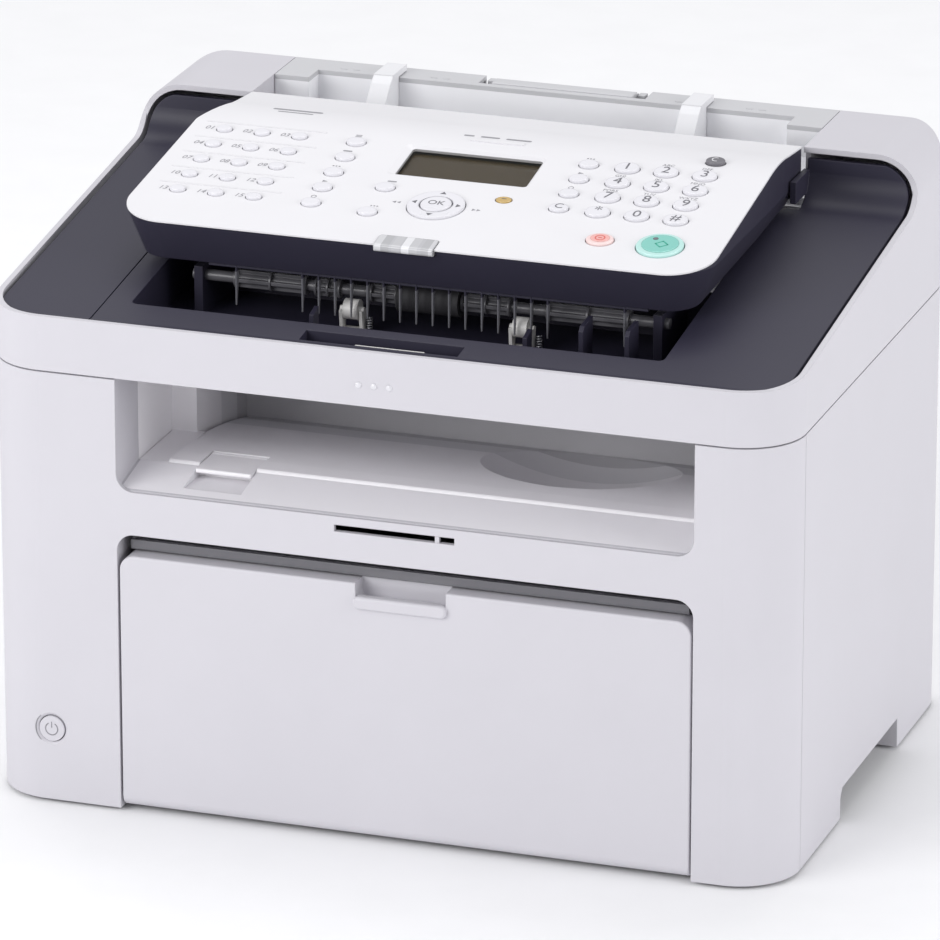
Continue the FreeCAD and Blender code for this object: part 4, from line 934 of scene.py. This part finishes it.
@dataclass
class PanelPrint:
    """Everything printed or raised on the operation panel and its keys."""

    lift: float = 0.03 * MM
    thick: float = 0.03 * MM
    digit_size: float = 8.2 * MM
    label_size: float = 4.4 * MM
    letters_size: float = 2.9 * MM
    sign_side: float = 1.0 * MM
    sign_rise: float = 6.3 * MM
    ring_reach: float = 10.2 * MM
    start_raise: float = 0.22 * MM
    stop_raise: float = 0.16 * MM
    letters: tuple[str, ...] = ("", "ABC", "DEF", "GHI", "JKL", "MNO", "PQRS", "TUV", "WXYZ")
    signs: dict[str, str] = field(default_factory=lambda: {"star": "*", "hash": "#"})

    def on(self, node: str, x: float, y: float) -> Matrix:
        """Placement on top of a node, with the drawing's top towards the back."""
        point, normal = touch(node, x, y)
        return lay(point, normal, BACK, self.lift)

    def sign(self, drawing: Drawing, kind: Pictogram, place: Matrix) -> None:
        """Draw one generic sign, 2 to 5 mm wide.

        Args:
            drawing: The drawing that takes the sign.
            kind: Which sign.
            place: Placement of the sign.
        """
        if kind is Pictogram.SHEET:
            for level in (-0.7, 0.1, 0.9):
                drawing.bar(3.0 * MM, 0.35 * MM, place, self.thick, 0.0, level * MM)
        elif kind is Pictogram.BARS:
            drawing.bar(4.4 * MM, 1.1 * MM, place, self.thick)
        elif kind is Pictogram.DOTS:
            for offset in (-1.4, 0.0, 1.4):
                drawing.disc(0.45 * MM, 0.45 * MM, place, self.thick, offset * MM)
        elif kind is Pictogram.ARROW:
            tip = [(-1.2 * MM, -0.8 * MM), (1.2 * MM, 0.0), (-1.2 * MM, 0.8 * MM)]
            drawing.outline(tip, place, self.thick)
        else:
            drawing.arc(1.1 * MM, 0.35 * MM, 0, 360, place, self.thick)

    def number_keys(self) -> None:
        """Print digits on the number keys and letters beside them."""
        letters = Drawing("keypad_letters", "operation_panel", INK, "key_white")
        for name in (*"0123456789", "star", "hash"):
            node = f"key_{name}"
            low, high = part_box(node)
            x, y = (low[0] + high[0]) / 2, (low[1] + high[1]) / 2
            drawing = Drawing(f"digit_{name}", node, INK_DARK, "key_white")
            word = self.signs.get(name, name)
            drawing.text(word, self.digit_size, self.on(node, x, y), self.thick)
            drawing.done()
            if name.isdigit() and name != "0" and self.letters[int(name) - 1]:
                place = self.on("panel_plate", x - 1.0 * MM, y + 7.1 * MM)
                letters.text(self.letters[int(name) - 1], self.letters_size, place, self.thick)
        letters.done()

    def one_touch(self) -> None:
        """Print the numbers left of the one-touch keys and raise the row lines."""
        numbers = Drawing("one_touch_numbers", "operation_panel", INK, "panel_white")
        lines = Drawing("one_touch_lines", "operation_panel", PANEL_WHITE, "panel_white")
        for index, spot in enumerate(centres("one_touch_keys")):
            place = self.on("panel_plate", spot.x - 7.4 * MM, spot.y + 0.4 * MM)
            numbers.text(f"{index + 1:02d}", self.label_size, place, self.thick, 0.25)
            if index % 3 == 1:
                place = self.on("panel_plate", spot.x, spot.y + 6.2 * MM)
                place = place @ Matrix.Translation((0.0, 0.0, -0.05 * MM))
                lines.bar(58.0 * MM, 0.9 * MM, place, 0.14 * MM)
        numbers.done()
        lines.done()

    def function_keys(self) -> None:
        """Print the signs of the mode, menu and small keys."""
        marks = Drawing("function_signs", "operation_panel", INK, "panel_white")
        kinds = list(Pictogram)
        for index, spot in enumerate(centres("mode_keys")):
            place = self.on("panel_plate", spot.x - self.sign_side, spot.y + self.sign_rise)
            self.sign(marks, kinds[index % len(kinds)], place)
        for index, spot in enumerate(centres("menu_keys")):
            place = self.on("panel_plate", spot.x + self.sign_side, spot.y + self.sign_rise)
            self.sign(marks, kinds[(index + 1) % len(kinds)], place)
        spots = centres("small_keys")
        for index, spot in enumerate(spots[:3]):
            place = self.on("panel_plate", spot.x - self.sign_side, spot.y + 6.0 * MM)
            self.sign(marks, kinds[(index + 2) % len(kinds)], place)
        marks.done()
        clear = Drawing("clear_letter", "small_keys", INK_DARK, "key_white")
        clear.text("C", 6.0 * MM, self.on("small_keys", spots[3].x, spots[3].y), self.thick)
        clear.done()

    def navigation(self) -> None:
        """Draw the arrows on the ring, the OK letters and the signs beside them."""
        low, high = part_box("nav_ring")
        x, y = (low[0] + high[0]) / 2, (low[1] + high[1]) / 2
        arrows = Drawing("ring_arrows", "nav_ring", INK_DARK, "key_white")
        tip = [(-1.5 * MM, -0.9 * MM), (1.5 * MM, -0.9 * MM), (0.0, 1.2 * MM)]
        for turn in range(4):
            angle = math.radians(90 * turn)
            dx, dy = -math.sin(angle) * self.ring_reach, math.cos(angle) * self.ring_reach
            place = self.on("nav_ring", x + dx, y + dy) @ Matrix.Rotation(angle, 4, "Z")
            arrows.outline(tip, place, self.thick)
        arrows.done()
        letters = Drawing("ok_letters", "ok_key", INK_DARK, "key_white")
        letters.text("OK", 5.4 * MM, self.on("ok_key", x, y), self.thick)
        letters.done()
        beside = Drawing("ring_signs", "operation_panel", INK, "panel_white")
        for sign in (-1, 1):
            place = self.on("panel_plate", x + sign * 17.5 * MM, y)
            for index in range(2):
                shift = sign * index * 2.2 * MM
                back, point = shift - sign * 0.8 * MM, shift + sign * 0.9 * MM
                tip = [(back, -1.0 * MM), (point, 0.0), (back, 1.0 * MM)]
                if sign < 0:
                    tip[1], tip[2] = tip[2], tip[1]
                beside.outline(tip, place, self.thick)
        beside.done()

    def start_stop(self) -> None:
        """Lay the coloured faces and signs on the start, stop and energy keys."""
        spots = {}
        for node in ("start_key", "stop_key", "energy_saver_key", "indicator_lenses"):
            low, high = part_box(node)
            spots[node] = ((low[0] + high[0]) / 2, (low[1] + high[1]) / 2)
        face = Drawing("start_face", "start_key", START_FACE, "start_green")
        place = self.on("start_key", *spots["start_key"])
        face.disc(8.3 * MM, 8.3 * MM, place, self.start_raise)
        face.done()
        icon = Drawing("start_sign", "start_key", INK_GREEN, "start_green")
        above = place @ Matrix.Translation((0.8 * MM, -0.4 * MM, self.start_raise + self.lift))
        above = above @ Matrix.Rotation(0.785, 4, "Z")
        for index in range(4):
            side = above @ Matrix.Rotation(index * math.pi / 2, 4, "Z")
            icon.bar(4.6 * MM, 0.6 * MM, side, self.thick, 0.0, 2.0 * MM)
        icon.done()
        dot = Drawing("start_lamp", "start_key", INK_DARK, "key_dark")
        beside = place @ Matrix.Translation((-3.2 * MM, 4.0 * MM, self.start_raise))
        dot.disc(1.2 * MM, 1.2 * MM, beside, 0.12 * MM)
        dot.done()
        face = Drawing("stop_face", "stop_key", STOP_FACE, "stop_pink")
        place = self.on("stop_key", *spots["stop_key"])
        face.disc(4.4 * MM, 3.7 * MM, place, self.stop_raise)
        face.done()
        icon = Drawing("stop_sign", "stop_key", INK_RED, "stop_pink")
        above = place @ Matrix.Translation((0.0, 0.0, self.stop_raise + self.lift))
        icon.arc(2.1 * MM, 0.5 * MM, 0, 360, above, self.thick)
        icon.bar(1.8 * MM, 0.6 * MM, above, self.thick)
        icon.done()
        icon = Drawing("energy_sign", "energy_saver_key", INK_WHITE, "key_dark")
        place = self.on("energy_saver_key", *spots["energy_saver_key"])
        icon.arc(1.6 * MM, 0.5 * MM, 60, 240, place, self.thick)
        icon.done()
        lamp = Drawing("error_sign", "operation_panel", INK_DARK, "lens")
        spot = centres("indicator_lenses")[0]
        lamp.bar(2.2 * MM, 0.5 * MM, self.on("indicator_lenses", spot.x, spot.y), self.thick)
        lamp.done()

    def raised_marks(self) -> None:
        """Raise the ledge behind the display and print plain label strips."""
        ledge = Drawing("display_ledge", "operation_panel", PANEL_WHITE, "panel_white")
        low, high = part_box("lcd_window")
        middle = (low[0] + high[0]) / 2
        place = self.on("panel_plate", middle + 5.0 * MM, high[1] + 9.5 * MM)
        ledge.bar(26.0 * MM, 2.6 * MM, place @ Matrix.Translation((0, 0, -0.1 * MM)), 0.55 * MM)
        ledge.done()
        strips = Drawing("label_strips", "operation_panel", INK, "panel_white")
        for row, width in ((0, 24.0), (1, 17.0)):
            place = self.on("panel_plate", -98.0 * MM, 41.0 * MM - row * 3.6 * MM)
            strips.bar(width * MM, (2.2 - 1.0 * row) * MM, place, self.thick)
        place = self.on("panel_plate", middle + 6.0 * MM, high[1] + 14.4 * MM)
        for index, width in enumerate((5.0, 9.0, 12.0)):
            strips.bar(width * MM, 1.6 * MM, place, self.thick, (-16.0, -6.0, 7.5)[index] * MM)
        strips.done()

    def build(self) -> None:
        """Make all the panel's print."""
        self.number_keys()
        self.one_touch()
        self.function_keys()
        self.navigation()
        self.start_stop()
        self.raised_marks()


@dataclass
class CasingDetails:
    """Small fittings of the casing: button sign, moulded marks and springs."""

    ring_radius: float = 2.9 * MM
    stroke: float = 0.5 * MM
    wire: float = 0.22 * MM
    coil: float = 1.3 * MM
    coil_height: float = 7.0 * MM
    strip_marks: tuple[float, ...] = (-104.0, -98.0, -60.0, -54.0, 58.0, 64.0, 92.0, 98.0)
    dot_left: float = -8.4
    dot_pitch: float = 7.1

    def power_sign(self) -> None:
        """Raise the on and off sign on the power button."""
        low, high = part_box("power_button")
        x, z = (low[0] + high[0]) / 2, (low[2] + high[2]) / 2
        point, normal = touch_front("power_button", x, z)
        place = lay(point, normal, UP, 0.01 * MM)
        sign = Drawing("power_sign", "power_button", INK, "key_white")
        sign.arc(self.ring_radius, self.stroke, 120, 300, place, 0.05 * MM)
        upright = place @ Matrix.Rotation(math.pi / 2, 4, "Z")
        sign.bar(3.0 * MM, self.stroke, upright, 0.05 * MM, 1.9 * MM)
        sign.done()

    def power_bezel(self) -> None:
        """Lay a thin grey ring round the power button."""
        low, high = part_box("power_button")
        x, z = (low[0] + high[0]) / 2, (low[2] + high[2]) / 2
        place = lay(Vector((x, -131.0 * MM + 0.25 * MM, z)), -BACK, UP, 0.0)
        ring = Drawing("power_bezel", "base", INK, "housing")
        ring.arc(7.75 * MM, 0.5 * MM, 0, 360, place, 0.2 * MM)
        ring.done()

    def tray_marks(self) -> None:
        """Moulded sheet sign on the slope of the document tray."""
        marks = Drawing("tray_sign", "upper_unit", FEEDER, "feeder_grey")
        for index, length in enumerate((9.0, 12.0, 12.0, 9.0)):
            point, normal = touch("document_tray", (10.0 + index * 2.6) * MM, 93.0 * MM)
            place = lay(point, normal, BACK, -0.05 * MM) @ Matrix.Rotation(math.pi / 2, 4, "Z")
            marks.bar(length * MM, 0.55 * MM, place, 0.35 * MM)
        marks.done()

    def top_marks(self) -> None:
        """Moulded size lines on the feeder's top strip."""
        marks = Drawing("strip_marks", "upper_unit", FEEDER, "feeder_grey")
        for x in self.strip_marks:
            point, normal = touch("document_tray", x * MM, 119.5 * MM)
            place = lay(point, normal, BACK, -0.05 * MM)
            marks.bar(3.4 * MM, 0.8 * MM, place, 0.3 * MM)
        marks.done()

    def pinch_springs(self) -> None:
        """Wind a small spring over each pinch roller holder."""
        for index, (low, high) in enumerate(islands("pinch_rollers")):
            curve = bpy.data.curves.new(f"pinch_spring_{index}", "CURVE")
            curve.dimensions = "3D"
            curve.bevel_depth = self.wire
            curve.bevel_resolution = 2
            spline = curve.splines.new("POLY")
            turns, steps = 6, 14
            spline.points.add(turns * steps)
            x = high.x + 2.4 * MM
            y = (low.y + high.y) / 2
            for step in range(turns * steps + 1):
                angle = 2 * math.pi * step / steps
                z = low.z + 0.6 * MM + step * self.coil_height / (turns * steps)
                dx, dy = self.coil * math.cos(angle), self.coil * math.sin(angle)
                spline.points[step].co = (x + dx, y + dy, z, 1.0)
            spring = bpy.data.objects.new(f"pinch_spring_{index}", curve)
            bpy.context.scene.collection.objects.link(spring)
            curve.materials.append(SCREW.build())
            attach(spring, "upper_unit")
            log.info("pinch_spring_%d rides on upper_unit", index)

    def band_dots(self) -> None:
        """Domed caps on the three bumps of the front band, coloured lighter than the housing as a
        painted highlight.
        """
        dots = Drawing("band_dots", "upper_unit", DOT_HIGHLIGHT, "panel_white")
        for index in range(3):
            x = (self.dot_left + index * self.dot_pitch) * MM
            point, _ = touch_front("upper_housing", x, 214.0 * MM)
            place = lay(Vector((point.x, -130.9 * MM, point.z)), -BACK, UP, 0.0)
            dots.dome(1.6 * MM, 0.9 * MM, place)
        dots.done()

    def groove_bar(self) -> None:
        """Bright bar in the grip groove of the deck."""
        bar = Drawing("groove_bar", "upper_unit", WHITE, "housing")
        point, _ = touch("deck_cover", 1.5 * MM, -118.0 * MM)
        place = lay(point, UP, BACK, 0.02 * MM)
        bar.bar(32.0 * MM, 0.9 * MM, place, 0.25 * MM)
        bar.done()

    def build(self) -> None:
        """Make all the casing's small fittings."""
        self.power_sign()
        self.power_bezel()
        self.tray_marks()
        self.top_marks()
        self.pinch_springs()
        self.band_dots()
        self.groove_bar()


@dataclass
class RearDetails:
    """Plain rating label and jack contacts at the back."""

    def label(self) -> None:
        """Blank foil label with ruled lines on the rear cover."""
        _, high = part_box("rear_cover")
        foil = Finish("foil_label", shade(214, 214, 216), roughness=0.32)
        plate = Drawing("rear_label", "base", foil, "housing")
        place = lay(Vector((-20.0 * MM, high[1], 70.0 * MM)), BACK, UP, 0.01 * MM)
        x, y = 32 * MM, 16 * MM
        plate.outline([(-x, -y), (x, -y), (x, y), (-x, y)], place, 0.08 * MM)
        plate.done()
        lines = Drawing("rear_label_lines", "base", INK, "housing")
        for row in range(6):
            length, rise = (52 - 5 * (row % 3)) * MM, (11 - 4.4 * row) * MM
            lines.bar(length, 0.9 * MM, place, 0.12 * MM, -2 * MM, rise)
        lines.done()

    def contacts(self) -> None:
        """Gold contact wires inside both line jacks."""
        gold = Finish(
            "contact_gold", (0.83, 0.62, 0.25), roughness=0.22, metallic=1.0, variation=0.1
        )
        wires = Drawing("jack_contacts", "base", gold, "screw_steel")
        for low, high in islands("line_jacks"):
            middle = (low.x + high.x) / 2
            for index in range(4):
                x = middle + (index - 1.5) * 1.2 * MM
                place = lay(Vector((x, low.y + 5.0 * MM, low.z + 2.1 * MM)), UP, BACK, 0.0)
                turned = place @ Matrix.Rotation(math.pi / 2, 4, "Z")
                wires.bar(5.0 * MM, 0.4 * MM, turned, 0.4 * MM)
        wires.done()

    def build(self) -> None:
        """Make the rear fittings."""
        self.label()
        self.contacts()


# --------------------------------------------------------------------- studio
@dataclass
class Studio:
    """Pale floor, soft lights and the camera."""

    camera_place: tuple[float, float, float] = (1.0924, -3.2144, 1.3406)
    camera_yaw: float = 0.3281
    camera_pitch: float = 0.3421
    focal_mm: float = 305.6
    floor_colour: Colour = shade(245, 245, 246)
    sky: float = 0.6

    def floor(self) -> None:
        """Lay a large pale floor below the feet."""
        builder = bmesh.new()
        bmesh.ops.create_grid(builder, x_segments=4, y_segments=4, size=12.0)
        data = bpy.data.meshes.new("studio_floor")
        builder.to_mesh(data)
        builder.free()
        floor = bpy.data.objects.new("studio_floor", data)
        floor.location.z = -0.0002
        bpy.context.scene.collection.objects.link(floor)
        paper = Finish(
            "studio_paper",
            self.floor_colour,
            roughness=0.9,
            specular=0.1,
            edge_wear_and_light=0.0,
            grain_strength=0.05,
        )
        data.materials.append(paper.build())

    def soft_light(
        self, name: str, place: tuple[float, float, float], size: tuple[float, float], power: float
    ) -> None:
        """Hang one soft box that faces the machine.

        Args:
            name: Name of the light.
            place: Where it hangs, in metres.
            size: Width and height, in metres.
            power: Power, in watts.
        """
        data = bpy.data.lights.new(name, "AREA")
        data.shape = "RECTANGLE"
        data.size, data.size_y = size
        data.energy = power
        light = bpy.data.objects.new(name, data)
        light.location = place
        aim = Vector((0.0, 0.0, 0.14)) - Vector(place)
        light.rotation_euler = aim.to_track_quat("-Z", "Y").to_euler()
        bpy.context.scene.collection.objects.link(light)

    def world(self) -> None:
        """Even pale surroundings."""
        world = bpy.data.worlds.new("studio_world")
        world.use_nodes = True
        background = world.node_tree.nodes["Background"]
        background.inputs["Color"].default_value = (0.97, 0.975, 1.0, 1.0)
        background.inputs["Strength"].default_value = self.sky
        bpy.context.scene.world = world

    def camera(self) -> None:
        """Set the camera up and make it the scene's camera."""
        data = bpy.data.cameras.new("studio_camera")
        data.lens = self.focal_mm
        data.sensor_width = 36.0
        camera = bpy.data.objects.new("studio_camera", data)
        camera.location = self.camera_place
        camera.rotation_euler = (math.pi / 2 - self.camera_pitch, 0.0, self.camera_yaw)
        bpy.context.scene.collection.objects.link(camera)
        bpy.context.scene.camera = camera

    def build(self) -> None:
        """Build the studio."""
        bpy.context.scene.view_settings.view_transform = "Standard"
        self.floor()
        self.world()
        self.soft_light("front_soft", (-1.15, -1.7, 1.0), (1.5, 1.1), 25.0)
        self.soft_light("right_soft", (3.0, -0.4, 1.0), (2.0, 1.6), 40.0)
        self.soft_light("top_soft", (-0.4, 0.9, 2.6), (2.2, 1.6), 26.0)
        self.camera()
        log.info("studio ready")


def dress_nodes() -> None:
    """Give every CAD node its finish."""
    for name, finish in place_finishes().items():
        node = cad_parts[name]
        material = finish.build()
        if not node.material_slots:
            node.data.materials.append(material)
        for slot in node.material_slots:
            slot.material = material
        log.info("%s dressed in %s", name, finish.name)


def main() -> None:
    """Build the pieces in order."""
    logging.basicConfig(level=logging.INFO, format="%(name)s: %(message)s")
    dress_nodes()
    PanelPrint().build()
    CasingDetails().build()
    RearDetails().build()
    Studio().build()


if __name__ == "__main__":
    main()
